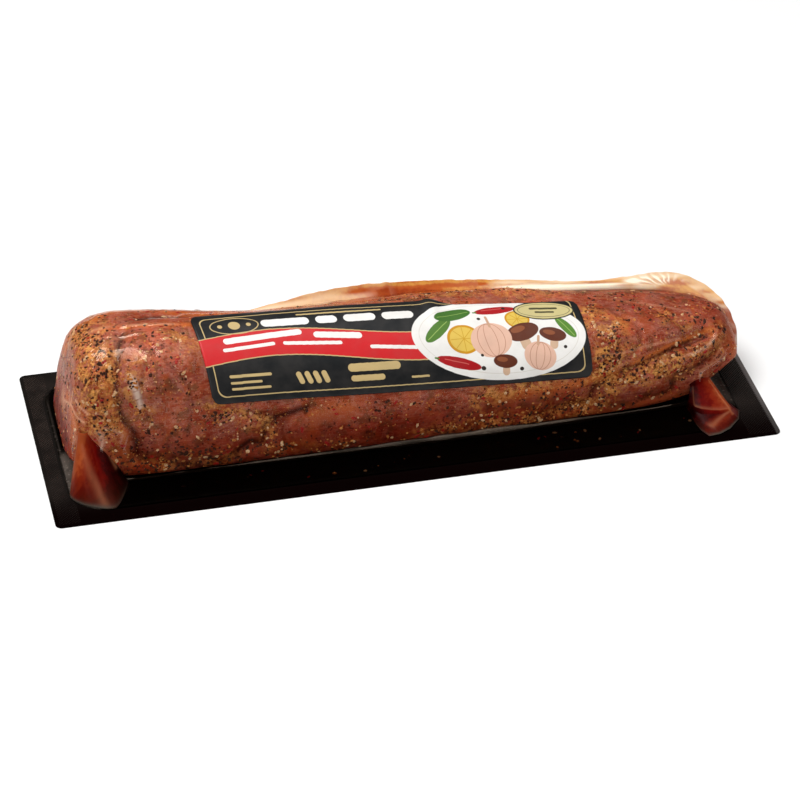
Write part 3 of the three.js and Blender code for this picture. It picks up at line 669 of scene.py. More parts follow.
class Finish:
    """A material of nodes around one Principled shader."""

    def __init__(self, name, **shader):
        self.material = bpy.data.materials.new(name)
        self.material.use_nodes = True
        self.tree = self.material.node_tree
        self.shader = self.tree.nodes["Principled BSDF"]
        self.place = None
        for key, value in shader.items():
            self.feed(self.shader.inputs[key.replace("_", " ")], value)

    def feed(self, socket, value):
        if isinstance(value, bpy.types.NodeSocket):
            self.tree.links.new(value, socket)
        elif socket.type == "RGBA" and len(value) == 3:
            socket.default_value = (*value, 1)
        else:
            socket.default_value = value

    def node(self, kind, feeds=(), **choices):
        made = self.tree.nodes.new("ShaderNode" + kind)
        for key, value in choices.items():
            setattr(made, key, value)
        for key, value in dict(feeds).items():
            self.feed(made.inputs[key], value)
        return made

    def object_place(self):
        if self.place is None:
            self.place = self.node("TexCoord").outputs["Object"]
        return self.place

    def noise(self, size, detail=2.0, roughness=0.5, stretch=(1, 1, 1), shift=0.0):
        """Cloudy values from 0 to 1 with features of this many millimetres."""
        mapped = self.node("Mapping", {
            "Vector": self.object_place(),
            "Location": (shift, shift, shift),
            "Scale": tuple(1 / s for s in stretch),
        })
        return self.node("TexNoise", {
            "Vector": mapped.outputs["Vector"], "Scale": 1 / (size * MM), "Detail": detail,
            "Roughness": roughness,
        }).outputs["Fac"]

    def layer(self, name):
        return self.node("Attribute", attribute_name=name).outputs["Fac"]

    def level(self, value, low, high, to_low=0.0, to_high=1.0):
        """A smooth step of value from low to high."""
        return self.node("MapRange", {
            "Value": value, "From Min": low, "From Max": high, "To Min": to_low,
            "To Max": to_high,
        }, interpolation_type="SMOOTHSTEP").outputs["Result"]

    def maths(self, operation, a, b=0.0):
        made = self.node("Math", operation=operation, use_clamp=False)
        self.feed(made.inputs[0], a)
        self.feed(made.inputs[1], b)
        return made.outputs[0]

    def mix(self, share, a, b, blend="MIX"):
        made = self.node("Mix", data_type="RGBA", blend_type=blend)
        self.feed(made.inputs[0], share)
        self.feed(made.inputs[6], a)
        self.feed(made.inputs[7], b)
        return made.outputs[2]

    def bump(self, height, distance, strength=1.0, under=None):
        feeds = {"Height": height, "Distance": distance * MM, "Strength": strength}
        if under is not None:
            feeds["Normal"] = under
        return self.node("Bump", feeds).outputs["Normal"]

    def paint(self, value):
        self.feed(self.shader.inputs["Base Color"], value)

    def set(self, key, value):
        self.feed(self.shader.inputs[key], value)

    def see_through(self, share, tint=(1, 1, 1)):
        """Lets what is behind show in this tint, except for this share."""
        output = self.tree.nodes["Material Output"]
        clear = self.node("BsdfTransparent", {"Color": tint})
        mixed = self.node("MixShader", {0: share})
        self.feed(mixed.inputs[1], clear.outputs[0])
        self.feed(mixed.inputs[2], self.shader.outputs[0])
        self.feed(output.inputs["Surface"], mixed.outputs[0])


def meat_finish():
    """Moist marinated meat: mottled muscle, orange glaze, seasoning paste and dark seams."""
    s = settings()
    f = Finish("seasoned_meat", Roughness=0.34, IOR=1.36, Specular_IOR_Level=0.06,
               Subsurface_Weight=0.10, Subsurface_Radius=(1.0, 0.35, 0.2),
               Subsurface_Scale=0.0012)
    paste, seam, foot, oil = (f.layer(name) for name in ("paste", "seam", "foot", "oil"))
    fibre = f.noise(0.8, 3, 0.6, stretch=(5, 1, 1))
    tone = f.mix(f.level(f.noise(14, 3, 0.55), 0.38, 0.62), s.muscle_dark, s.muscle_pink)
    mauve = f.level(f.noise(7.5, 3, 0.55, shift=0.3), 0.48, 0.62, 0, 0.85)
    tone = f.mix(mauve, tone, s.muscle_mauve)
    tone = f.mix(f.level(fibre, 0.45, 0.7, 0, 0.3), tone, colour("C48A70"))
    tone = f.mix(f.level(fibre, 0.48, 0.3, 0, 0.45), tone, colour("54190F"))
    veil = f.maths("ABSOLUTE", f.maths("SUBTRACT", f.noise(5, 3, 0.6, shift=0.5), 0.5))
    tone = f.mix(f.level(veil, 0.03, 0.0, 0, 0.32), tone, colour("C6957E"))
    glaze = f.level(f.noise(5.0, 4, 0.66, shift=0.7), 0.5, 0.66, 0, 0.6)
    tone = f.mix(glaze, tone, s.glaze)
    drift = f.level(f.noise(13, 2, 0.5, shift=0.9), 0.36, 0.56, 0.15, 1)
    herbs = f.level(f.noise(4.2, 3, 0.6, shift=0.15), 0.5, 0.64, 0, 0.7)
    tone = f.mix(f.maths("MULTIPLY", herbs, drift), tone, colour("6E4428"))
    # Dark seams between the muscles, darker with their depth: partly their own dark line, partly
    # painted shade in the recess.
    tone = f.mix(f.maths("MULTIPLY", seam, 0.9), tone, colour("300A05"))
    tone = f.mix(f.maths("MULTIPLY", oil, 0.8), tone, s.oil)
    mash = f.mix(f.level(f.noise(1.6, 4, 0.7), 0.4, 0.6), s.paste_dark, s.paste_light)
    golden = f.level(f.noise(5.5, 2, 0.5, shift=0.6), 0.46, 0.6, 0, 0.65)
    mash = f.mix(golden, mash, colour("EEAE5C"))
    patchy = f.level(f.noise(3.2, 4, 0.75, shift=0.2), 0.43, 0.56)
    tone = f.mix(f.maths("MULTIPLY", paste, patchy), tone, mash)
    for size, shift, low, tint, amount in (
        (1.5, 0.11, 0.66, "DE9648", 0.75), (1.0, 0.23, 0.67, "E8B47C", 0.75),
        (1.3, 0.37, 0.63, "2C0E05", 0.85), (2.2, 0.57, 0.66, "3A1608", 0.8),
        (1.9, 0.41, 0.70, "A51A10", 0.7),
    ):
        speck = f.level(f.noise(size, 2, 0.5, shift=shift), low, low + 0.04, 0, amount)
        tone = f.mix(f.maths("MULTIPLY", speck, drift), tone, colour(tint))
    tone = f.mix(f.maths("MULTIPLY", f.layer("silver"), f.level(fibre, 0.25, 0.5)), tone,
                 colour("DCC3B2"))
    # Painted highlight: pale lines along the film's creases and pleats, laid on the meat's colour.
    tone = f.mix(f.maths("MULTIPLY", f.layer("crease"), 0.7), tone, colour("E6B490"))
    # Painted shade: the foot layer darkens the meat along its foot, at both ends and on the right's
    # crest.
    shade = f.mix(f.maths("MULTIPLY", foot, 0.9), (1, 1, 1), (0.38, 0.08, 0.02))
    f.paint(f.mix(1.0, tone, shade, "MULTIPLY"))
    grain = f.bump(f.noise(0.7, 3, 0.65), 0.18, 0.7)
    f.set("Normal", f.bump(f.noise(2.4, 3, 0.6, shift=0.2), 0.5, 0.6, grain))
    return f.material


def film_finish(name, tint, haze, roughness=0.08, gloss=0.7, clear=(1, 1, 1), bubbles=0.0):
    """Clear glossy film: it mirrors the light at its edges and creases, and clears elsewhere."""
    f = Finish(name, Base_Color=tint, Roughness=roughness, Metallic=1.0)
    mirror = f.maths("MULTIPLY", f.node("Fresnel", {"IOR": 1.22}).outputs[0], gloss)
    mirror = f.maths("MULTIPLY", mirror, f.layer("sheen"))
    milk = f.maths("MULTIPLY", f.layer("haze"), haze)
    if bubbles:
        bubble = f.level(f.noise(1.3, 1, 0.4), 0.62, 0.7, 1, 1 + bubbles)
        milk = f.maths("MULTIPLY", milk, bubble)
    f.see_through(f.maths("MINIMUM", f.maths("ADD", mirror, milk), 1.0), clear)
    ripple = f.bump(f.noise(4.0, 2, 0.5, stretch=(2, 1, 1)), 0.5, 0.6)
    f.set("Normal", f.bump(f.noise(1.5, 2, 0.5, shift=0.3), 0.12, 0.5, ripple))
    return f.material


def fold_finish(name, tones, veil, pale, roughness=0.3):
    """Doubled film with marinade caught in it, through these tones to the deep hollows, which on
    the ears are painted shade.
    """
    f = Finish(name, Roughness=roughness, Specular_IOR_Level=0.04, IOR=1.4,
               Subsurface_Weight=0.15, Subsurface_Radius=(1.0, 0.4, 0.15),
               Subsurface_Scale=0.0015)
    streak = f.noise(2.0, 3, 0.5, stretch=(1, 1, 5))
    share = f.maths("ADD", f.layer("hollow"), f.level(streak, 0.3, 0.7, -0.07, 0.07))
    tone = tones[0]
    steps = len(tones) - 1
    for k in range(steps):
        tone = f.mix(f.level(share, k / steps, (k + 1) / steps), tone, tones[k + 1])
    tone = f.mix(f.layer("veil"), tone, veil)
    # The pale layer is partly painted highlight: the ears' folded edges, and the ridge's streak,
    # pleats and glint.
    tone = f.mix(f.layer("pale"), tone, pale)
    tone = f.mix(f.layer("grey"), tone, colour("4A443C"))
    f.paint(tone)
    f.set("Normal", f.bump(f.noise(2.6, 2, 0.5), 0.25, 0.4))
    return f.material


def grain_finish(name, main, second, roughness, rough_size=0.5):
    f = Finish(name, Roughness=roughness, IOR=1.4, Specular_IOR_Level=0.2)
    speck = f.noise(rough_size, 3, 0.6)
    lump = f.noise(4.0, 1, 0.5, shift=0.4)
    tone = f.mix(f.level(speck, 0.4, 0.65), main, second)
    tone = f.mix(f.level(lump, 0.4, 0.6, 0, 0.35), tone, tuple(c * 0.55 for c in main))
    f.paint(tone)
    f.set("Normal", f.bump(speck, 0.1, 0.6))
    return f.material


def base_finish():
    """Black sheet with a soft gloss, a few dull smears, painted shade at its front and a painted
    highlight on its right edge.
    """
    s = settings()
    f = Finish("black_sheet", Roughness=0.36, Specular_IOR_Level=0.0)
    brushed = f.noise(0.7, 2, 0.5, stretch=(1, 14, 1))
    smear = f.noise(24, 3, 0.6)
    tone = f.mix(f.level(smear, 0.4, 0.75, 0, 0.6), s.base_black, colour("2A2421"))
    split = f.node("SeparateXYZ", {0: f.object_place()})
    # Painted shade: the sheet is darker towards its front.
    behind = f.level(split.outputs[1], -48 * MM, -25 * MM)
    tone = f.mix(behind, colour("070202"), tone)
    # Painted highlight: a light line along the right edge, where the sheet's edge catches light,
    # fainter towards the front.
    strip = f.level(split.outputs[0], 137.9 * MM, 138.3 * MM)
    fading = f.level(split.outputs[1], -50 * MM, 10 * MM, 0.25, 0.9)
    tone = f.mix(f.maths("MULTIPLY", strip, fading), tone, colour("726C6A"))
    f.paint(tone)
    f.set("Roughness", f.level(smear, 0.3, 0.7, 0.3, 0.5))
    f.set("Normal", f.bump(brushed, 0.02, 0.3))
    return f.material


def dots_finish():
    """The raised dots of the seal, paler than the sheet, more so at the right's back, with painted
    shade towards the front.
    """
    f = Finish("seal_dots", Roughness=0.4, Specular_IOR_Level=0.1)
    split = f.node("SeparateXYZ", {0: f.object_place()})
    tone = f.mix(f.level(f.noise(9, 3), 0.35, 0.65), colour("241C19"), colour("463A34"))
    right = f.level(split.outputs[0], -50 * MM, 50 * MM)
    tone = f.mix(f.maths("MULTIPLY", right, 0.6), tone, colour("120C0A"))
    back = f.level(split.outputs[1], -32 * MM, -4 * MM, 0, 0.7)
    tone = f.mix(f.maths("MULTIPLY", right, back), tone, colour("5A5450"))
    # Painted shade: the dots darker towards the front.
    behind = f.level(split.outputs[1], -50 * MM, -4 * MM, 0.05, 1)
    f.paint(f.mix(behind, colour("0C0504"), tone))
    return f.material


class Print(Finish):
    """The label's print, drawn in millimetres from its lower left corner."""

    edge = 0.07

    def __init__(self, name, field, **shader):
        super().__init__(name, **shader)
        raw = self.node("UVMap", uv_map="print").outputs["UV"]
        self.at = self.node("VectorMath", {0: raw, 1: (LABEL_LENGTH, LABEL["width"], 1)},
                            operation="MULTIPLY").outputs[0]
        self.tone = field

    def vector(self, operation, a, b=(0, 0, 0)):
        made = self.node("VectorMath", operation=operation)
        self.feed(made.inputs[0], a)
        self.feed(made.inputs[1], b)
        return made.outputs["Value" if operation == "LENGTH" else "Vector"]

    def local(self, x, y, turn):
        moved = self.vector("SUBTRACT", self.at, (x, y, 0))
        if not turn:
            return moved
        return self.node("VectorRotate", {"Vector": moved, "Angle": -math.radians(turn)},
                         rotation_type="Z_AXIS").outputs[0]

    def oval(self, x, y, half_x, half_y, turn=0):
        scaled = self.vector("MULTIPLY", self.local(x, y, turn), (1 / half_x, 1 / half_y, 0))
        soft = self.edge / min(half_x, half_y)
        return self.level(self.vector("LENGTH", scaled), 1 + soft, 1 - soft)

    def bar(self, x, y, half_x, half_y, turn=0, corner=3.0):
        corner = min(half_x * 0.98, half_y * 0.98, corner)
        inner = self.vector("SUBTRACT", self.vector("ABSOLUTE", self.local(x, y, turn)),
                            (half_x - corner, half_y - corner, 1))
        away = self.vector("LENGTH", self.vector("MAXIMUM", inner, (0, 0, 0)))
        return self.level(away, corner + self.edge, corner - self.edge)

    def lay(self, mask, tone):
        self.tone = self.mix(mask, self.tone, tone)

    def outline(self, shape, x, y, half_x, half_y, wide, tone, turn=0):
        outer = shape(x, y, half_x, half_y, turn)
        inner = shape(x, y, half_x - wide, half_y - wide, turn)
        self.lay(self.maths("SUBTRACT", outer, inner), tone)


def leaf(p, x, y, long, turn, tone, vein):
    p.lay(p.oval(x, y, long, long * 0.36, turn), tone)
    p.lay(p.bar(x, y, long * 0.86, 0.12, turn), vein)


def garlic(p, x, y, size, turn):
    p.lay(p.oval(x, y, size, size * 0.86, turn), colour("E2B7A0"))
    for wide in (0.66, 0.28):
        p.outline(p.oval, x, y, size * wide, size * 0.84, 0.22, colour("B9806A"), turn)
    p.lay(p.bar(x + 0.2, y + size * 0.95, 0.5, size * 0.34, turn), colour("C99F82"))


def mushroom(p, x, y, size, turn):
    p.lay(p.bar(x, y - size * 0.55, size * 0.3, size * 0.6, turn), colour("D2AF92"))
    p.lay(p.oval(x, y, size, size * 0.55, turn), colour("5E2A16"))
    p.lay(p.oval(x - size * 0.25, y + size * 0.16, size * 0.45, size * 0.2, turn),
          colour("8A4C2C"))


def lemon(p, x, y, size):
    p.lay(p.oval(x, y, size, size * 0.92), colour("C98F14"))
    p.lay(p.oval(x, y, size * 0.84, size * 0.77), colour("DDBB52"))
    for turn in range(0, 180, 45):
        p.lay(p.bar(x, y, size * 0.8, 0.13, turn), colour("C99A28"))


def chilli(p, x, y, long, turn):
    p.lay(p.oval(x, y, long, long * 0.24, turn), colour("A8141B"))
    p.lay(p.bar(x - long * 0.1, y + long * 0.07, long * 0.55, 0.16, turn), colour("D0605A"))
    p.lay(p.bar(x - long * 1.0 * math.cos(math.radians(turn)),
                y - long * 1.0 * math.sin(math.radians(turn)), 0.9, 0.32, turn), colour("4F7A2C"))


def label_finish():
    """A plain printed label: black field, red ribbon, white oval of herbs and spices."""
    s = settings()
    p = Print("label_print", s.print_field, Roughness=0.4, Specular_IOR_Level=0.25)
    gold, red, white = s.print_gold, s.print_red, colour("EEEBE6")
    long, wide = LABEL_LENGTH, LABEL["width"]
    p.outline(p.bar, long / 2, wide / 2, long / 2 - 2.6, wide / 2 - 2.4, 0.4, gold)
    split = p.node("SeparateXYZ", {0: p.at})
    wave = p.maths("SINE", p.maths("MULTIPLY", split.outputs[0], 0.055))
    middle = p.maths("MULTIPLY_ADD", wave, 2.6)
    middle.node.inputs[2].default_value = 19.5
    away = p.maths("ABSOLUTE", p.maths("SUBTRACT", split.outputs[1], middle))
    reach = p.level(split.outputs[0], 92.0, 91.8)
    for half, tone in ((5.7, gold), (5.3, red)):
        band = p.level(away, half + p.edge, half - p.edge)
        p.lay(p.maths("MULTIPLY", band, reach), tone)
    for x, y, half_x, half_y, turn in (
        (24, 24.6, 15, 1.25, 4), (52, 23.2, 9, 1.25, -5), (18, 20.6, 10, 0.7, 4),
        (42, 20.6, 11, 0.7, -3), (72, 17.0, 9, 0.7, -5),
    ):
        p.lay(p.bar(x, y, half_x, half_y, turn), white)
    for x, half_x in ((34, 9), (49.5, 4), (62, 6), (76.5, 6)):
        p.lay(p.bar(x, 30.6, half_x, 1.8), white)
    p.lay(p.bar(55, 34.0, 16, 0.35), gold)
    p.outline(p.oval, 15, 30.8, 9.2, 4.3, 0.4, gold)
    p.lay(p.oval(15, 30.8, 2.2, 2.1), gold)
    p.lay(p.oval(9.6, 30.8, 0.9, 0.9), gold)
    p.lay(p.oval(20.4, 30.8, 0.9, 0.9), gold)
    for x, y, half_x, half_y in (
        (16, 9.8, 8, 0.55), (14, 7.4, 6, 0.45), (15.5, 5.2, 7.5, 0.45),
        (63, 10.2, 10, 1.5), (60, 6.2, 6.5, 1.1), (80, 5.4, 3.5, 0.4),
    ):
        p.lay(p.bar(x, y, half_x, half_y), gold)
    for k in range(4):
        p.lay(p.bar(34.5 + 3.2 * k, 7.6, 1.0, 2.4, 18), gold)
    p.lay(p.oval(113, 19, 33.5, 17.4, -3), white)
    p.outline(p.oval, 113, 19, 30.8, 15.0, 0.25, colour("DCD6CC"), -3)
    leaf(p, 90, 22.5, 7.0, 40, colour("4E7A2A"), colour("9DBB62"))
    leaf(p, 97, 29, 7.4, 10, colour("3F6E26"), colour("86A850"))
    leaf(p, 139.4, 20.4, 5.6, -58, colour("55842F"), colour("9DBB62"))
    lemon(p, 99, 18.2, 6.4)
    lemon(p, 121.5, 25.4, 4.8)
    chilli(p, 95.5, 9.2, 8.6, -16)
    chilli(p, 114, 30.6, 8.2, 6)
    mushroom(p, 122.2, 19.5, 6.6, 16)
    mushroom(p, 133.6, 17.6, 5.2, -14)
    garlic(p, 109.5, 17.2, 8.0, 8)
    garlic(p, 127.2, 9.6, 6.2, -14)
    mushroom(p, 113.4, 8.6, 4.6, -6)
    for x, y, size in ((104.6, 6.6, 0.9), (119.4, 5.4, 0.8), (106.6, 26.4, 0.7),
                       (117.6, 31.6, 0.7), (104.8, 11.4, 0.6), (137.5, 12.2, 0.7)):
        p.lay(p.oval(x, y, size, size * 0.9), colour("2A211C"))
    p.lay(p.oval(133, 29.6, 11.8, 5.4, -3), colour("2B2A22"))
    p.lay(p.oval(133, 29.6, 11.2, 4.8, -3), colour("CDBF86"))
    p.outline(p.oval, 133, 29.6, 10.2, 4.0, 0.25, colour("4E4A30"), -3)
    p.lay(p.bar(133, 30.6, 5.5, 0.6, -3), colour("4E4A30"))
    p.lay(p.bar(133, 28.4, 3.8, 0.5, -3), colour("4E4A30"))
    worn = p.level(p.noise(9, 3, 0.6), 0.3, 0.75, 0.0, 0.12)
    p.paint(p.mix(worn, p.tone, colour("6A625C")))
    p.set("Normal", p.bump(p.noise(6, 2, 0.5, stretch=(2, 1, 1)), 0.3, 0.4))
    return p.material


# Settings


def user_colour(name, description, code):
    """A colour that the user can change."""
    return bpy.props.FloatVectorProperty(
        name=name, description="Colour of " + description, subtype="COLOR", default=colour(code))


class TenderloinPackSettings(bpy.types.PropertyGroup):
    """Sizes and colours of the pack that a user would change."""

    muscle_pink: user_colour("Pink muscle", "the paler muscle", "B85A40")
    muscle_dark: user_colour("Dark muscle", "the darker muscle", "90341C")
    muscle_mauve: user_colour("Mauve muscle", "the cool patches of muscle", "9E5648")
    glaze: user_colour("Glaze", "the marinade where it is thick", "AA5228")
    oil: user_colour("Oil", "the clear marinade under the film's folds", "CE6C30")
    paste_light: user_colour("Light paste", "the paler seasoning paste", "DE9A54")
    paste_dark: user_colour("Dark paste", "the darker seasoning paste", "702E12")
    base_black: user_colour("Base sheet", "the base sheet", "191614")
    print_field: user_colour("Label field", "the label's field", "121416")
    print_red: user_colour("Label ribbon", "the label's ribbon", "CC1C22")
    print_gold: user_colour("Label gold", "the label's lines", "C8AE78")
    film_lift: bpy.props.FloatProperty(
        name="Film lift", description="How far the film stands off the meat",
        default=0.30 * MM, min=0.1 * MM, max=1 * MM, unit="LENGTH")
    seasoning: bpy.props.FloatProperty(
        name="Seasoning", description="Amount of loose seasoning, as a share of the usual",
        default=1.0, min=0.1, max=1.5, subtype="FACTOR")


# Pieces. The body has this many points in each quarter of its section, and this many rings

BODY_QUARTERS = (66, 104, 60, 26)
BODY_RINGS = 380

# The largest granules: how many places are tried and where, how far apart those that are kept
# lie, and how they lift the film

GRANULES = {"tried": 190, "x": (-122, 122), "turn": (-0.12, 1.13), "above": 6, "apart": 4.2,
            "lift": 0.4, "width": 1.5}

# The least distance of the film from the meat

FILM_GAP = 0.28


@functools.cache
def body_grid():
    """Turns round the body, and x of each ring at each turn."""
    turns = even_turns(BODY_QUARTERS)
    return turns, even_stations(turns, BODY_RINGS + 1)


def body_pod(name):
    turns, x = body_grid()
    return pod(name, len(turns), BODY_RINGS, lambda k, r: body_point(x[r, k], turns[k]))


def big_granules():
    """Places of the largest granules, which lift the film."""
    draw = np.random.default_rng(11)
    tried = GRANULES["tried"]
    places = body_point(draw.uniform(*GRANULES["x"], tried), draw.uniform(*GRANULES["turn"], tried))
    clear = (under_label(places, 4) <= 0) & (places[:, 2] > GRANULES["above"])
    kept = []
    for p in places[clear]:
        if all(np.linalg.norm(p - q) > GRANULES["apart"] for q in kept):
            kept.append(p)
    return np.array(kept)


@functools.cache
def surface_fields(lift):
    """The smooth body's points and normals, and what lies on them, in millimetres."""
    body = body_pod("smooth_body")
    points, normals = read(body.data) / MM, read(body.data, "normal")
    bpy.data.objects.remove(body)
    held = ease((points[:, 2] - FLOOR - 1) / 6)
    bare = 1 - under_label(points, 4)
    paste = stroke(points, PASTE)
    muscle = muscle_relief(points)
    soft = 0.34 * noise(points, 9.0, 1) + 0.16 * noise(points, 4.0, 2)
    fibre = 0.08 * noise(points, (7.0, 1.5, 1.5), 3) * (1 - paste)
    crumb = paste * 0.35 * np.abs(noise(points, 1.8, 4))
    meat = (muscle + soft + fibre + crumb) * held
    meat = np.where(bare < 1, np.minimum(meat, meat * bare + 0.05), meat)
    crease = np.zeros(len(points))
    for tall, width, path in CREASES:
        line = body_line(path)
        ends = np.minimum(np.linalg.norm(points - line[0], axis=1),
                          np.linalg.norm(points - line[-1], axis=1))
        near = bell(distance_to(points, line, width * 3), width)
        crease = np.maximum(crease, tall * ease(ends / 9) * near)
    lumps = np.zeros(len(points))
    for place in big_granules():
        away = np.linalg.norm(points - place, axis=1)
        lumps = np.maximum(lumps, GRANULES["lift"] * bell(away, GRANULES["width"]))
    stretch = 0.6 * muscle + 0.7 * soft + 0.14 * noise(points, (6, 2, 2), 8)
    film = stretch * held * bare + lift + (crease + lumps) * bare
    film = np.maximum(film, meat + FILM_GAP)
    return {
        "points": points, "normals": normals, "bare": bare, "paste": paste,
        "meat": drawn_back(points + normals * meat[:, None], 0.35),
        "film": drawn_back(points + normals * film[:, None], 0.0),
        "crease": np.clip(crease / 0.9, 0, 1),
    }


def painted_shade(points, paste):
    """Painted shade on the meat, how dark it lies: along the foot, at both ends and on the right's
    crest.
    """
    x, y, z = points.T
    rise = z / along(1, x)
    share = follow(x, ((-90, 0.75), (-45, 0.92), (50, 0.92), (90, 0.66)))
    foot = share * ease((0.56 - rise) / 0.36) * (1 - 0.15 * paste)
    corner = 0.95 * ease((11 - z) / 5) * ease((-88 - x) / 12)
    left = (0.4 * ease((31 - z) / 13) + 0.55 * ease((19 - z) / 5)) * ease((-117 - x) / 7)
    crest = 0.28 * ease((x - 66) / 14) * ease((rise - 0.78) / 0.12)
    right = 0.42 * ease((x - 108) / 12)
    return np.maximum.reduce([foot, corner, left, crest, right])


class MeatOperator(bpy.types.Operator):
    """The marinated meat, with its muscles, seams and seasoning paste"""

    bl_idname = "tenderloin.meat"
    bl_label = "Meat"

    def execute(self, context):
        obj = body_pod("marinated_meat")
        on = surface_fields(settings().film_lift / MM)
        points = on["points"]
        write(obj.data, on["meat"])
        layer(obj.data, "paste", on["paste"])
        layer(obj.data, "seam", seam_depth(points))
        layer(obj.data, "oil", np.maximum(stroke(points, OIL), on["crease"] * 0.6))
        width, path = SILVERSKIN
        ragged = 1 + 0.5 * noise(points, 2.0, 9) + 0.45 * noise(points, 1.2, 10)
        silver = bell(distance_to(points, body_line(path), 8) * ragged, width)
        layer(obj.data, "silver", silver)
        # Painted highlights along the film's creases and its pleated streaks.
        pale = on["crease"] ** 2
        for width, path in STREAKS:
            pale = np.maximum(pale, bell(distance_to(points, body_line(path), 2), width))
        layer(obj.data, "crease", pale)
        # The foot layer carries the painted shade along the foot, at both ends and on the right's
        # crest.
        layer(obj.data, "foot", painted_shade(points, on["paste"]))
        finish_piece(obj, meat_finish(), ["filled_film_pocket"])
        return {"FINISHED"}


class FilmOperator(bpy.types.Operator):
    """The clear film drawn tight over the meat, with its creases"""

    bl_idname = "tenderloin.film"
    bl_label = "Film"

    def execute(self, context):
        obj = body_pod("clear_film")
        on = surface_fields(settings().film_lift / MM)
        write(obj.data, on["film"])
        x, y, z = on["points"].T
        low = ease((z - 14) / 16)
        crest = ease((z / along(1, x) - 0.78) / 0.2) * ease(0.6 + 0.7 * noise(on["points"], 9, 34))
        veil = stroke(on["points"], VEILS)
        layer(obj.data, "haze", on["crease"] ** 1.5 + 0.2 * crest + 0.45 * veil)
        layer(obj.data, "sheen", (0.06 + 0.94 * low) * (1 - 0.75 * ease((-118 - x) / 8)))
        finish = film_finish("clear_film", colour("FAE6D2"), 0.22)
        finish_piece(obj, finish)
        return {"FINISHED"}


def grain_shape(name, subdivisions, squash, roughness, seed):
    """One small grain as a ball of few faces, of radius 1."""
    clear_selection()
    bpy.ops.mesh.primitive_ico_sphere_add(subdivisions=subdivisions, radius=1)
    obj = named(name)
    draw = np.random.default_rng(seed)
    p = read(obj.data)
    p = p * (1 + roughness * draw.uniform(-1, 1, (len(p), 1))) * squash
    faces = [tuple(f.vertices) for f in obj.data.polygons]
    bpy.data.objects.remove(obj)
    return p, faces


def scattered(name, shapes, places, ups, sizes, draw, stretch=(1, 1)):
    """One mesh of many grains, each turned its own way on the surface that it lies on."""
    side = np.cross(ups, draw.normal(size=ups.shape))
    side /= np.linalg.norm(side, axis=1, keepdims=True)
    frames = np.stack([side, np.cross(ups, side), ups], axis=2)
    points, faces, start = [], [], 0
    which = draw.integers(0, len(shapes), len(places))
    longer = draw.uniform(*stretch, len(places))
    for i, place in enumerate(places):
        shape, shape_faces = shapes[which[i]]
        local = shape * sizes[i]
        local = local * (longer[i], 1, 1)
        points.append(local @ frames[i].T + place)
        faces.extend(tuple(v + start for v in face) for face in shape_faces)
        start += len(shape)
    mesh = bpy.data.meshes.new(name)
    mesh.from_pydata((np.vstack(points) * MM).tolist(), [], faces)
    obj = bpy.data.objects.new(name, mesh)
    bpy.context.scene.collection.objects.link(obj)
    face_outwards(obj)
    return obj


def surface_samples(obj, weights, count, draw):
    """Random places on a mesh and the way up there, more where the weights are large."""
    mesh = obj.data
    mesh.calc_loop_triangles()
    corners = np.empty(len(mesh.loop_triangles) * 3, np.int32)
    mesh.loop_triangles.foreach_get("vertices", corners)
    corners = corners.reshape(-1, 3)
    points, normals = read(mesh) / MM, read(mesh, "normal")
    a, b, c = (points[corners[:, k]] for k in range(3))
    area = np.linalg.norm(np.cross(b - a, c - a), axis=1)
    chance = area * weights[corners].mean(axis=1)
    pick = draw.choice(len(corners), count, p=chance / chance.sum())
    u, v = draw.uniform(size=(2, count, 1))
    flip = u + v > 1
    u, v = np.where(flip, 1 - u, u), np.where(flip, 1 - v, v)
    place = a[pick] + u * (b - a)[pick] + v * (c - a)[pick]
    return place, normals[corners[pick, 0]]


# Seasoning: name, count, radius range, squash, roughness, subdivisions, stretch, even share,
# share with the paste, colours and surface roughness

SEASONING = (
    ("cracked_pepper", 1650, (0.3, 1.4), (1, 0.85, 0.6), 0.3, 1, (0.9, 1.3), 0.2, 1.0,
     "2A1108", "552A12", 0.5),
    ("garlic_granules", 560, (0.4, 1.3), (1, 0.85, 0.55), 0.2, 1, (0.9, 1.4), 0.14, 1.0,
     "CC9460", "E8CBA2", 0.4),
    ("orange_crumbs", 1900, (0.25, 0.95), (1, 0.85, 0.6), 0.25, 1, (0.9, 1.3), 0.05, 1.0,
     "B0602A", "D8954E", 0.45),
    ("red_pepper_flakes", 230, (0.5, 1.3), (1, 0.7, 0.25), 0.2, 1, (1.0, 1.5), 0.5, 0.8,
     "8E1410", "C03020", 0.35),
)

# A few grains of each kind lie loose under the film on the black apron

LOOSE = {"count": 7, "x": (-92, 112), "y": (-43.5, -32.5), "z": FLOOR - 0.2, "lean": 0.55,
         "radius": (0.35, 0.85)}

# How far a grain's top stands off the meat, the radii of the largest granules, and how much
# more often a grain is small than large

GRAIN_TOP = 0.24
LARGE = (0.8, 1.35)
SMALLER = 1.9
UP = (0.0, 0.0, 1.0)


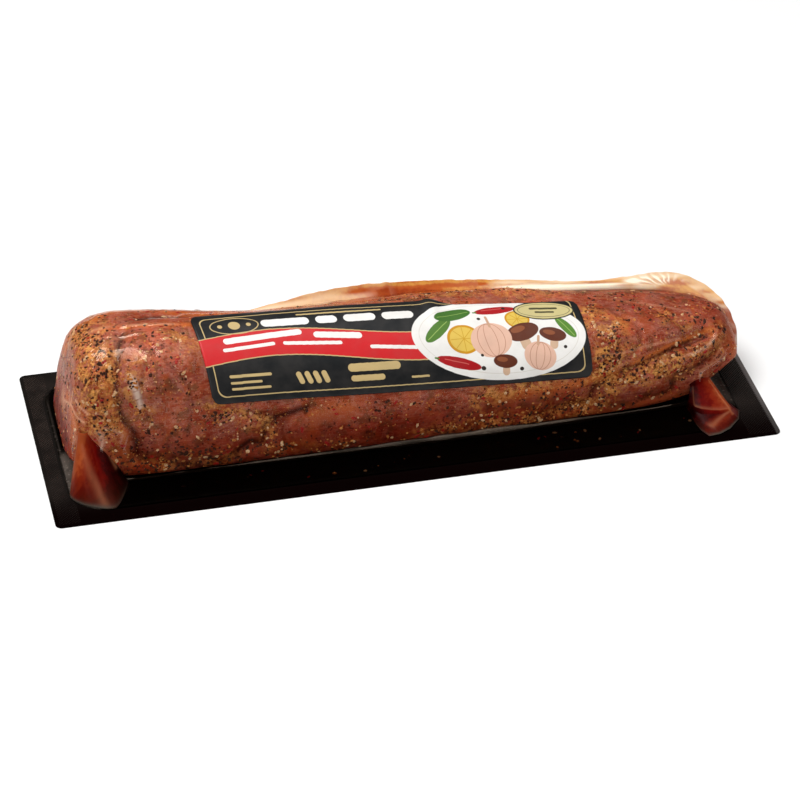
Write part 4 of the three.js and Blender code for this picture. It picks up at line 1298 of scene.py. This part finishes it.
class SeasoningOperator(bpy.types.Operator):
    """Cracked pepper, garlic, crumbs and red flakes, pressed into the meat by the film"""

    bl_idname = "tenderloin.seasoning"
    bl_label = "Seasoning"

    def execute(self, context):
        meat = bpy.data.objects["marinated_meat"]
        points = read(meat.data) / MM
        on = surface_fields(settings().film_lift / MM)
        paste, bare = on["paste"], ease(on["bare"] * 3 - 2)
        held = ease((points[:, 2] - FLOOR - 0.5) / 2)
        drift = ease(0.5 + 0.9 * noise(points, 12.0, 21))
        drift = drift * (0.3 + 1.4 * ease((noise(points, 3.4, 22) + 0.1) / 0.5))
        paste = paste * (0.3 + 1.2 * ease((noise(points, 3.8, 23) + 0.2) / 0.6))
        peppered = stroke(points, PEPPER) * (0.4 + ease((noise(points, 2.6, 24) + 0.1) / 0.5))
        for number, row in enumerate(SEASONING):
            (name, count, radii, squash, rough, subdivisions, stretch, even, clump,
             main, second, gloss) = row
            draw = np.random.default_rng(100 + number)
            weights = (even * (0.3 + drift) + clump * paste ** 1.3) * bare * held + 1e-6
            if name == "cracked_pepper":
                weights += 1.6 * peppered * bare * held
            amount = int(count * settings().seasoning)
            places, ups = surface_samples(meat, weights, amount, draw)
            sizes = radii[0] + (radii[1] - radii[0]) * draw.uniform(size=amount) ** SMALLER
            if name == "garlic_granules":
                large = big_granules()
                nearest = [np.argmin(np.sum((on["points"] - p) ** 2, axis=1)) for p in large]
                places[:len(large)] = points[nearest]
                ups[:len(large)] = on["normals"][nearest]
                sizes[:len(large)] = draw.uniform(*LARGE, len(large))
            shapes = [grain_shape(name, subdivisions, squash, rough, 40 + k) for k in range(5)]
            depth = GRAIN_TOP - sizes * squash[2]
            places += ups * depth[:, None]
            loose = LOOSE["count"]
            run = draw.uniform(size=loose) ** LOOSE["lean"]
            low, high = LOOSE["x"]
            flat = np.column_stack([low + run * (high - low), draw.uniform(*LOOSE["y"], loose),
                                    np.full(loose, LOOSE["z"])])
            places = np.vstack([places, flat])
            ups = np.vstack([ups, np.tile(UP, (loose, 1))])
            sizes = np.concatenate([sizes, draw.uniform(*LOOSE["radius"], loose)])
            obj = scattered(name, shapes, places, ups, sizes, draw, stretch)
            finish = grain_finish(name, colour(main), colour(second), gloss)
            finish_piece(obj, finish, smooth=False)
        return {"FINISHED"}


class BaseOperator(bpy.types.Operator):
    """The flat black base sheet with its embossed seal borders"""

    bl_idname = "tenderloin.base"
    bl_label = "Base Sheet"

    def execute(self, context):
        clear_selection()
        size = (BASE["length"], BASE["width"], BASE["thick"])
        bpy.ops.mesh.primitive_cube_add(size=1)
        obj = named("base_sheet_black")
        write(obj.data, read(obj.data) * size + (0, 0, BASE["thick"] / 2))
        weights = obj.data.attributes.new("bevel_weight_edge", "FLOAT", "EDGE")
        points = read(obj.data)
        for edge, weight in zip(obj.data.edges, weights.data):
            a, b = (points[v] for v in edge.vertices)
            weight.value = float(a[2] != b[2])
        apply_modifier(obj, "BEVEL", width=BASE["corner"] * MM, segments=6,
                       limit_method="WEIGHT")
        apply_modifier(obj, "BEVEL", width=BASE["edge"] * MM, segments=2, limit_method="ANGLE")
        finish_piece(obj, base_finish(), ["base_sheet"], smooth=False)
        return {"FINISHED"}


def seal_middle():
    """The seal line's middle in x, and the half sides of the rectangle inside its corners."""
    corner = SEAL["corner"]
    middle = (SEAL["left"] + SEAL["right"]) / 2
    half_x = (SEAL["right"] - SEAL["left"]) / 2 - corner
    return middle, half_x, (SEAL["back"] - SEAL["front"]) / 2 - corner


def inside_seal(x, y, margin):
    """How far inside the seal line a point is, less this margin; negative is outside."""
    middle, half_x, half_y = seal_middle()
    dx = np.abs(x - middle) - half_x
    dy = np.abs(y) - half_y
    outside = np.hypot(np.maximum(dx, 0), np.maximum(dy, 0))
    return SEAL["corner"] - outside - np.minimum(np.maximum(dx, dy), 0) - margin


# The seal's dots: their spacing, shape, distance from the sheet's edges, and where they begin

EMBOSS = {"pitch": 1.15, "height": 0.13, "sunk": 0.1, "size": 0.44, "tip": 0.12, "edge": 1.6,
          "from": (-130.5, 127.5)}


class EmbossOperator(bpy.types.Operator):
    """The fine raised dots of the heat seal at both ends of the base sheet"""

    bl_idname = "tenderloin.emboss"
    bl_label = "Seal Embossing"

    def execute(self, context):
        clear_selection()
        tall, sunk = EMBOSS["height"], EMBOSS["sunk"]
        bpy.ops.mesh.primitive_cone_add(vertices=4, radius1=EMBOSS["size"],
                                        radius2=EMBOSS["tip"], depth=tall + sunk)
        stud = named("stud")
        shape = (read(stud.data), [tuple(f.vertices) for f in stud.data.polygons])
        bpy.data.objects.remove(stud)
        pitch = EMBOSS["pitch"]
        nx, ny = int(BASE["length"] / pitch), int(BASE["width"] / (pitch * 0.5))
        gx, gy = np.meshgrid(np.arange(nx), np.arange(ny), indexing="ij")
        x = (gx + 0.5 * (gy % 2)) * pitch - BASE["length"] / 2
        y = gy * pitch * 0.5 - BASE["width"] / 2
        room = (BASE["length"] / 2 - np.abs(x) > EMBOSS["edge"]) & (
            BASE["width"] / 2 - np.abs(y) > EMBOSS["edge"])
        left, right = EMBOSS["from"]
        room &= (inside_seal(x, y, -0.8) < 0) & ((x < left) | (x > right))
        middle = BASE["thick"] + (tall - sunk) / 2
        places = np.stack([x[room], y[room], np.full(room.sum(), middle)], 1)
        ups = np.tile(UP, (len(places), 1))
        draw = np.random.default_rng(7)
        obj = scattered("seal_embossing", [shape], places, ups, np.ones(len(places)), draw)
        finish_piece(obj, dots_finish(), smooth=False)
        return {"FINISHED"}


# The apron: its points, how far in it reaches, how it rises at the meat's foot and at both
# ends, and how it lies on the base sheet

APRON = {"around": 420, "rings": 24, "foot_x": 0.93, "foot_y": 0.62, "rise": 1.6, "end_rise": 3.0,
         "end_from": 0.9, "end_over": 0.1, "over_base": 0.1, "under": 0.03, "edge": 0.3}


def seal_outline(share):
    """Points round the seal line at shares 0 to 1 of its length."""
    r = SEAL["corner"]
    cx, half_x, half_y = seal_middle()
    arc = np.linspace(0, np.pi / 2, 24)
    points = []
    for quarter, (sx, sy) in enumerate(((1, -1), (1, 1), (-1, 1), (-1, -1))):
        a = arc + (quarter - 1) * np.pi / 2
        points.append(np.stack([cx + sx * half_x + r * np.cos(a), sy * half_y + r * np.sin(a)], 1))
    line = np.vstack(points)
    line = np.vstack([line, line[:1]])
    travelled = travelled_along(line)
    return line_at(line, travelled, share * travelled[-1])


class ApronOperator(bpy.types.Operator):
    """The film from the foot of the meat out to its seal on the base sheet"""

    bl_idname = "tenderloin.apron"
    bl_label = "Apron Film"

    def execute(self, context):
        cx = seal_middle()[0]
        half_x = SEAL["right"] - cx
        rings, thick = APRON["rings"], BASE["thick"]

        def place(k, r):
            edge = seal_outline(k / APRON["around"])
            under = r > rings / 2
            t = 1 - np.where(under, rings - r, r) / (rings / 2)
            foot = np.stack([cx + (edge[:, 0] - cx) * APRON["foot_x"],
                             edge[:, 1] * APRON["foot_y"]], 1)
            flat = edge + (foot - edge) * t[:, None]
            reach = np.abs(edge[:, 0] - cx) / half_x
            at_end = ease((reach - APRON["end_from"]) / APRON["end_over"])
            rise = (APRON["rise"] + APRON["end_rise"] * at_end) * t ** 2
            p3 = np.column_stack([flat, np.zeros(len(flat))])
            ripple = 0.08 * noise(p3, (14, 5, 5), 31) * t
            top = thick + APRON["over_base"] + APRON["edge"] * ease(t / 0.08) + rise + ripple
            z = np.where(under, thick + APRON["under"], top)
            pole = (r == 0) | (r == rings)
            flat = np.where(pole[:, None], (cx, 0.0), flat)
            return np.column_stack([flat, z])

        obj = pod("apron_film", APRON["around"], rings, place)
        points = read(obj.data) / MM
        x, y, z = points.T
        left = ease((-121 - x) / 4) * ease((-3 - y) / 7)
        rim = 0.7 * bell(inside_seal(x, y, 0.4), 0.45) * ease((-125 - x) / 4)
        right = ease((x - 116) / 6) * ease((2 - y) / 10) * ease((33 + y) / 8)
        cloud = 0.75 + 0.25 * noise(points, 6.0, 33)
        haze = np.maximum.reduce([1.5 * left * cloud, rim, 0.7 * right * cloud])
        layer(obj.data, "haze", haze)
        layer(obj.data, "sheen", np.ones(len(x)))
        # The apron's dark see-through tint is painted shade on the sheet and the loose grains under
        # it.
        finish = film_finish("apron_film", colour("BEAC9E"), 0.5, 0.3, 0.12,
                             (0.26, 0.22, 0.20), 1.5)
        finish_piece(obj, finish)
        return {"FINISHED"}


class RidgeOperator(bpy.types.Operator):
    """The standing ridge of spare film along the back of the crest"""

    bl_idname = "tenderloin.ridge"
    bl_label = "Film Ridge"

    def execute(self, context):
        rings, around = RIDGE["rings"], RIDGE["around"]
        at, height, half, across, outward = self.spine(rings)
        kept = {}

        def place(k, r):
            angle = 2 * np.pi * k / around
            w, h = np.cos(angle), np.sin(angle)
            high = np.maximum(h, 0)
            kept["up"] = high
            slope = RIDGE["edge"] + (half[r] - RIDGE["edge"]) * (1 - high) ** 1.7
            side = np.sign(w) * np.abs(w) ** 0.3 * slope
            up = np.where(h > 0, height[r] * high, -RIDGE["sunk"] * (-np.minimum(h, 0)) ** 0.5)
            base = at[r]
            pleat = 0.6 * noise(base, (6, 6, 6), 41) * high * np.minimum(1, height[r] / 3)
            crimp = 0.25 * noise(base, 2.2, 42) * high
            pole = ((r == 0) | (r == rings))
            side = np.where(pole, 0, side + pleat)
            up = np.where(pole, 0, up + crimp)
            return base + across[r] * side[:, None] + outward[r] * up[:, None]

        obj = pod("film_ridge", around, rings, place)
        points = read(obj.data) / MM
        self.paint(obj.data, points, kept["up"])
        tones = [colour(c) for c in ("D29246", "B25626", "943A18", "762210")]
        finish = fold_finish("film_ridge", tones, colour("9A5844"), colour("FFF2DA"), 0.2)
        finish_piece(obj, finish)
        return {"FINISHED"}

    def spine(self, rings):
        """The ridge's even line of points, heights and half widths, and its ways across and up."""
        line = smooth_line(RIDGE_PATH, 40)
        travelled = travelled_along(line[:, :3])
        line = line_at(line, travelled, np.linspace(0, travelled[-1], rings + 1))
        at, height, half = line[:, :3], line[:, 3], line[:, 4]
        tangent = np.gradient(at, axis=0)
        tangent /= np.linalg.norm(tangent, axis=1, keepdims=True)
        core = np.stack([np.clip(at[:, 0], CORE["from"], CORE["to"]), 0 * height,
                         CORE["z"] + 0 * height], 1)
        outward = at - core
        outward -= tangent * np.sum(outward * tangent, axis=1, keepdims=True)
        outward /= np.linalg.norm(outward, axis=1, keepdims=True)
        return at, height, half, np.cross(tangent, outward), outward

    def paint(self, mesh, points, up):
        """Where the ridge is pale, and where it is deep in marinade.

        Along it run a white streak of painted reflection, a fan of pleats on the bulge with
        painted highlights on them, one bright painted glint, and a fold like a tent at the
        right, which is free of the streaks.
        """
        x = points[:, 0]
        streak = noise(points, (12, 2, 2), 43)
        pale = follow(x, RIDGE_PALE)
        deep = follow(x, RIDGE_DEEP) * (1 - 0.8 * ease((up - 0.55) / 0.3))
        pale += 0.28 * streak * (pale > 0.05)
        low = follow(x, ((40, 0.05), (60, 0.16), (90, 0.12)))
        broken = 1 + 0.3 * noise(points, (4, 1, 1), 45)
        # Painted reflection: the white streak low on the ridge.
        pale += follow(x, RIDGE_STREAK) * bell(up - low, 0.2) * broken
        pale *= 1 - 0.8 * bell(np.hypot((x - 92.5) / 4.5, (up - 0.55) / 0.4), 1)
        # Painted highlights on the fan of pleats over the bulge.
        fan = np.arctan2(up * 7 + 3, x - 112) * 9 + noise(points, 2.5, 46)
        bulge = ease((x - 97) / 4) * ease((122 - x) / 8) * bell(up - 0.5, 0.32)
        pale += 0.8 * bulge * ease(np.sin(fan * 2.2) * 1.4)
        # A painted glint.
        pale += 1.6 * bell(np.hypot((x - 98.5) / 2.6, (up - 0.45) / 0.22), 1)
        tent = follow(x, ((106, 0.0), (117, 0.8), (128, 0.1))) + 0.1 * noise(points, 6.0, 44)
        tent = ease((tent - up) / 0.3)
        pale = pale * (1 - tent) + 0.12 * tent
        deep = np.maximum(deep, 0.2 * tent)
        layer(mesh, "pale", np.clip(pale, 0, 1))
        layer(mesh, "hollow", np.clip(deep - 0.2 * streak, 0, 1))
        layer(mesh, "veil", ease((7 - points[:, 1]) / 8) * ease((x - 118) / 4))
        layer(mesh, "grey", 0 * x)


def net_surface(net, crisp, steps=16):
    """A dense net from a coarse one, rounded at its points or with crisp folds there."""
    def drawn(points):
        if not crisp:
            return smooth_line(points, steps)
        p = np.asarray(points, float)
        return line_at(p, np.arange(len(p)), np.linspace(0, len(p) - 1, steps * (len(p) - 1) + 1))

    rows = [drawn(row) for row in net]
    return np.stack([drawn(column) for column in zip(*rows)], axis=1)


def bilinear(net, u, v):
    """Values of a dense net at u along its rows and v across them."""
    i, j = v * (net.shape[0] - 1), u * (net.shape[1] - 1)
    i0 = np.minimum(i.astype(int), net.shape[0] - 2)
    j0 = np.minimum(j.astype(int), net.shape[1] - 2)
    fi, fj = (i - i0)[:, None], (j - j0)[:, None]
    lower = net[i0, j0] * (1 - fj) + net[i0, j0 + 1] * fj
    upper = net[i0 + 1, j0] * (1 - fj) + net[i0 + 1, j0 + 1] * fj
    return lower * (1 - fi) + upper * fi


class EarsOperator(bpy.types.Operator):
    """The four pleated ears of film, with marinade caught in them"""

    bl_idname = "tenderloin.ears"
    bl_label = "Film Ears"

    def execute(self, context):
        # From the marinade's orange on lit faces to nearly black painted shade on faces in shadow.
        tones = [colour(c) for c in ("9C4722", "761F0B", "580502", "2C0202", "0A0000")]
        finish = fold_finish("film_ears", tones, colour("4A2013"), colour("B67450"))
        for name, net, crisp, scale, move in EARS:
            surface = net_surface(EAR_NETS[net], crisp)
            self.make_ear(name, net, surface, scale, move, finish)
        return {"FINISHED"}

    def make_ear(self, name, net_name, net, scale, move, finish):
        """One ear from a dense net, painted with the tones that the net and its edges carry:
        painted shade from the net's tones, and painted highlights along its edges.
        """
        kept = {}

        def place(u, v):
            values = bilinear(net, u, v)
            kept["tone"], kept["veil"] = values[:, 3], values[:, 4]
            kept["rim"] = bell(v, 0.035) * (1 - 0.7 * ease((u - 0.55) / 0.3))
            edge = np.zeros(len(u))
            for (u0, v0), (u1, v1), width, strong in EAR_EDGES[net_name]:
                way = np.array((u1 - u0, v1 - v0))
                t = np.clip(((u - u0) * way[0] + (v - v0) * way[1]) / (way @ way), 0, 1)
                away = np.hypot(u - u0 - t * way[0], v - v0 - t * way[1])
                edge = np.maximum(edge, strong * bell(away, width))
            kept["edge"] = edge
            shape = values[:, :3] + (0.08 * noise(values[:, :3], (4, 4, 8), 51))[:, None]
            return shape * scale + move

        obj = sheet("film_ear_" + name, *EAR_GRID, place)
        # hollow carries the net's tones, dark where painted shade falls.
        layer(obj.data, "hollow", np.clip(kept["tone"], 0, 1))
        layer(obj.data, "veil", np.clip(kept["veil"], 0, 1))
        # pale carries painted highlights along the folded edges.
        layer(obj.data, "pale", kept["edge"])
        layer(obj.data, "grey", kept["rim"])
        apply_modifier(obj, "SOLIDIFY", thickness=0.25 * MM, offset=0)
        face_outwards(obj)
        finish_piece(obj, finish)


class FoldOperator(bpy.types.Operator):
    """The thin fold of film that runs along the front foot"""

    bl_idname = "tenderloin.fold"
    bl_label = "Foot Fold"

    def execute(self, context):
        rings, around = 260, 12
        line = smooth_line(FOOT_FOLD, 40)
        line = line_at(line, np.arange(len(line)), np.linspace(0, len(line) - 1, rings + 1))

        def place(k, r):
            angle = 2 * np.pi * k / around
            size = np.where((r == 0) | (r == rings), 0, 1)
            size = size * (1 + 0.35 * noise(line[r, :3], 6.0, 71))
            out = line[r, 3] * size * np.cos(angle)
            up = line[r, 4] * size * np.sin(angle) - 0.35 * out
            return line[r, :3] + np.column_stack([0 * out, -out, up])

        obj = pod("foot_fold", around, rings, place)
        points = read(obj.data) / MM
        layer(obj.data, "haze", 0.5 + 0.5 * ease(0.5 + noise(points, 14.0, 72)))
        layer(obj.data, "sheen", np.ones(len(points)))
        finish = film_finish("foot_fold", colour("8A7A6C"), 0.5, 0.5)
        finish_piece(obj, finish)
        return {"FINISHED"}


class LabelOperator(bpy.types.Operator):
    """The printed label, wrapped over the front and the crest"""

    bl_idname = "tenderloin.label"
    bl_label = "Label"

    def execute(self, context):
        length, width, corner = LABEL_LENGTH, LABEL["width"], LABEL["corner"]
        turns = np.linspace(1.15, 0.2, 700)
        shares = {}

        def place(u, v):
            shares["u"], shares["v"] = u.copy(), v.copy()
            result = np.empty((len(u), 3))
            for share in np.unique(np.round(u, 6)):
                rows_here = np.abs(u - share) < 1e-5
                run = share * length
                x = LABEL["left"] + run
                edge = min(run, length - run)
                cut = corner - math.sqrt(max(corner ** 2 - max(corner - edge, 0) ** 2, 0))
                line = body_point(x, turns)
                travelled = travelled_along(line)
                lower = np.interp(share, (0, 1), LABEL["lower"])
                start = travelled[np.argmax(line[:, 2] >= lower)]
                tucked = float(ease((run - LABEL["tuck_from"]) / LABEL["tuck_over"]))
                tall = width - LABEL["tuck"] * tucked
                stop = cut + (tall - 2 * cut) * v[rows_here]
                turn = np.interp(start + stop, travelled, turns)
                shares["v"][rows_here] = stop / width
                placed = x + LABEL["slant"] * stop / width * (1 - share)
                result[rows_here] = body_point(placed, turn)
            return result

        obj = sheet("printed_label", LABEL["columns"], LABEL["rows"], place)
        face_outwards(obj)
        points, normals = read(obj.data) / MM, read(obj.data, "normal")
        if np.mean(normals[:, 2]) < 0:
            obj.data.flip_normals()
            obj.data.update()
            normals = read(obj.data, "normal")
        run, rise = shares["u"] * length, shares["v"] * width
        wave = 0.12 * noise(points, (11, 6, 6), 61) + 0.04 * noise(points, 3.0, 62)
        pinch = 0.9 * bell(run - 90, 2.6) - 0.3 * bell(run - 97, 3.0)
        wave += pinch * ease((rise - 20) / 14)
        write(obj.data, points + normals * (LABEL["lift"] + wave)[:, None])
        uv = obj.data.uv_layers.new(name="print")
        corners = np.empty(len(obj.data.loops), np.int32)
        obj.data.loops.foreach_get("vertex_index", corners)
        pairs = np.stack([shares["u"][corners], shares["v"][corners]], 1)
        uv.data.foreach_set("uv", pairs.astype(np.float32).ravel())
        apply_modifier(obj, "SOLIDIFY", thickness=0.16 * MM, offset=-1)
        finish_piece(obj, label_finish(), ["label"])
        return {"FINISHED"}


# The camera of the photo, in metres, millimetres of lens and degrees

CAMERA = {"place": (-0.24772, -1.09813, 0.76041), "lens": 157.53, "sensor": 36.0,
          "yaw": 12.80, "pitch": 33.95}


class StageOperator(bpy.types.Operator):
    """The pale floor, the soft lights and the camera"""

    bl_idname = "tenderloin.stage"
    bl_label = "Stage"

    def execute(self, context):
        scene = context.scene
        clear_selection()
        bpy.ops.mesh.primitive_plane_add(size=12)
        floor = named("floor")
        f = Finish("pale_floor", Roughness=0.9, Specular_IOR_Level=0.1)
        f.paint(f.mix(f.level(f.noise(400, 2), 0.3, 0.7), colour("F4F4F3"), colour("F7F7F6")))
        floor.data.materials.append(f.material)
        for name, place, size, power in (
            ("softbox_over", (-0.35, 0.15, 1.25), 0.9, 14.5),
            ("softbox_front", (-0.7, -1.3, 0.9), 0.8, 5.0),
            ("softbox_right", (1.2, -0.4, 0.7), 0.8, 2.5),
        ):
            bpy.ops.object.light_add(type="AREA", location=place)
            light = bpy.context.object
            light.name = name
            light.data.shape = "DISK"
            light.data.size = size
            light.data.energy = power
            light.rotation_euler = (-Vector(place)).to_track_quat("-Z", "Y").to_euler()
        world = bpy.data.worlds.new("soft_room")
        scene.world = world
        world.use_nodes = True
        nodes, links = world.node_tree.nodes, world.node_tree.links
        way = nodes.new("ShaderNodeTexCoord").outputs["Generated"]
        split = nodes.new("ShaderNodeSeparateXYZ")
        rising = nodes.new("ShaderNodeMapRange")
        for key, value in (("From Min", 0.62), ("From Max", 0.97), ("To Min", 0.1),
                           ("To Max", 0.9)):
            rising.inputs[key].default_value = value
        links.new(way, split.inputs[0])
        links.new(split.outputs[2], rising.inputs["Value"])
        links.new(rising.outputs[0], nodes["Background"].inputs["Strength"])
        nodes["Background"].inputs["Color"].default_value = (1, 1, 1, 1)
        bpy.ops.object.camera_add(location=CAMERA["place"], rotation=(
            math.radians(90 - CAMERA["pitch"]), 0, math.radians(-CAMERA["yaw"])))
        camera = bpy.context.object
        camera.name = "photo_camera"
        camera.data.lens = CAMERA["lens"]
        camera.data.sensor_width = CAMERA["sensor"]
        camera.data.clip_end = 50
        scene.camera = camera
        scene.view_settings.view_transform = "Standard"
        return {"FINISHED"}


# Panel and registration

OPERATORS = (BaseOperator, EmbossOperator, MeatOperator, SeasoningOperator, FilmOperator,
             ApronOperator, FoldOperator, RidgeOperator, EarsOperator, LabelOperator,
             StageOperator)


class TenderloinPackPanel(bpy.types.Panel):
    """Makes the pack piece by piece"""

    bl_idname = "VIEW3D_PT_tenderloin_pack"
    bl_label = "Tenderloin Pack"
    bl_space_type = "VIEW_3D"
    bl_region_type = "UI"
    bl_category = "Tenderloin Pack"

    def draw(self, context):
        for operator in OPERATORS:
            self.layout.operator(operator.bl_idname)
        for name in TenderloinPackSettings.__annotations__:
            self.layout.prop(context.scene.tenderloin_pack, name)


CLASSES = (TenderloinPackSettings, *OPERATORS, TenderloinPackPanel)


def register():
    for each in CLASSES:
        bpy.utils.register_class(each)
    bpy.types.Scene.tenderloin_pack = bpy.props.PointerProperty(type=TenderloinPackSettings)


def unregister():
    del bpy.types.Scene.tenderloin_pack
    for each in reversed(CLASSES):
        bpy.utils.unregister_class(each)


def main():
    register()
    for operator in OPERATORS:
        group, name = operator.bl_idname.split(".")
        result = getattr(getattr(bpy.ops, group), name)()
        if result != {"FINISHED"}:
            raise RuntimeError(operator.bl_label + " was not made")
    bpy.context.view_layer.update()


if __name__ == "__main__":
    main()
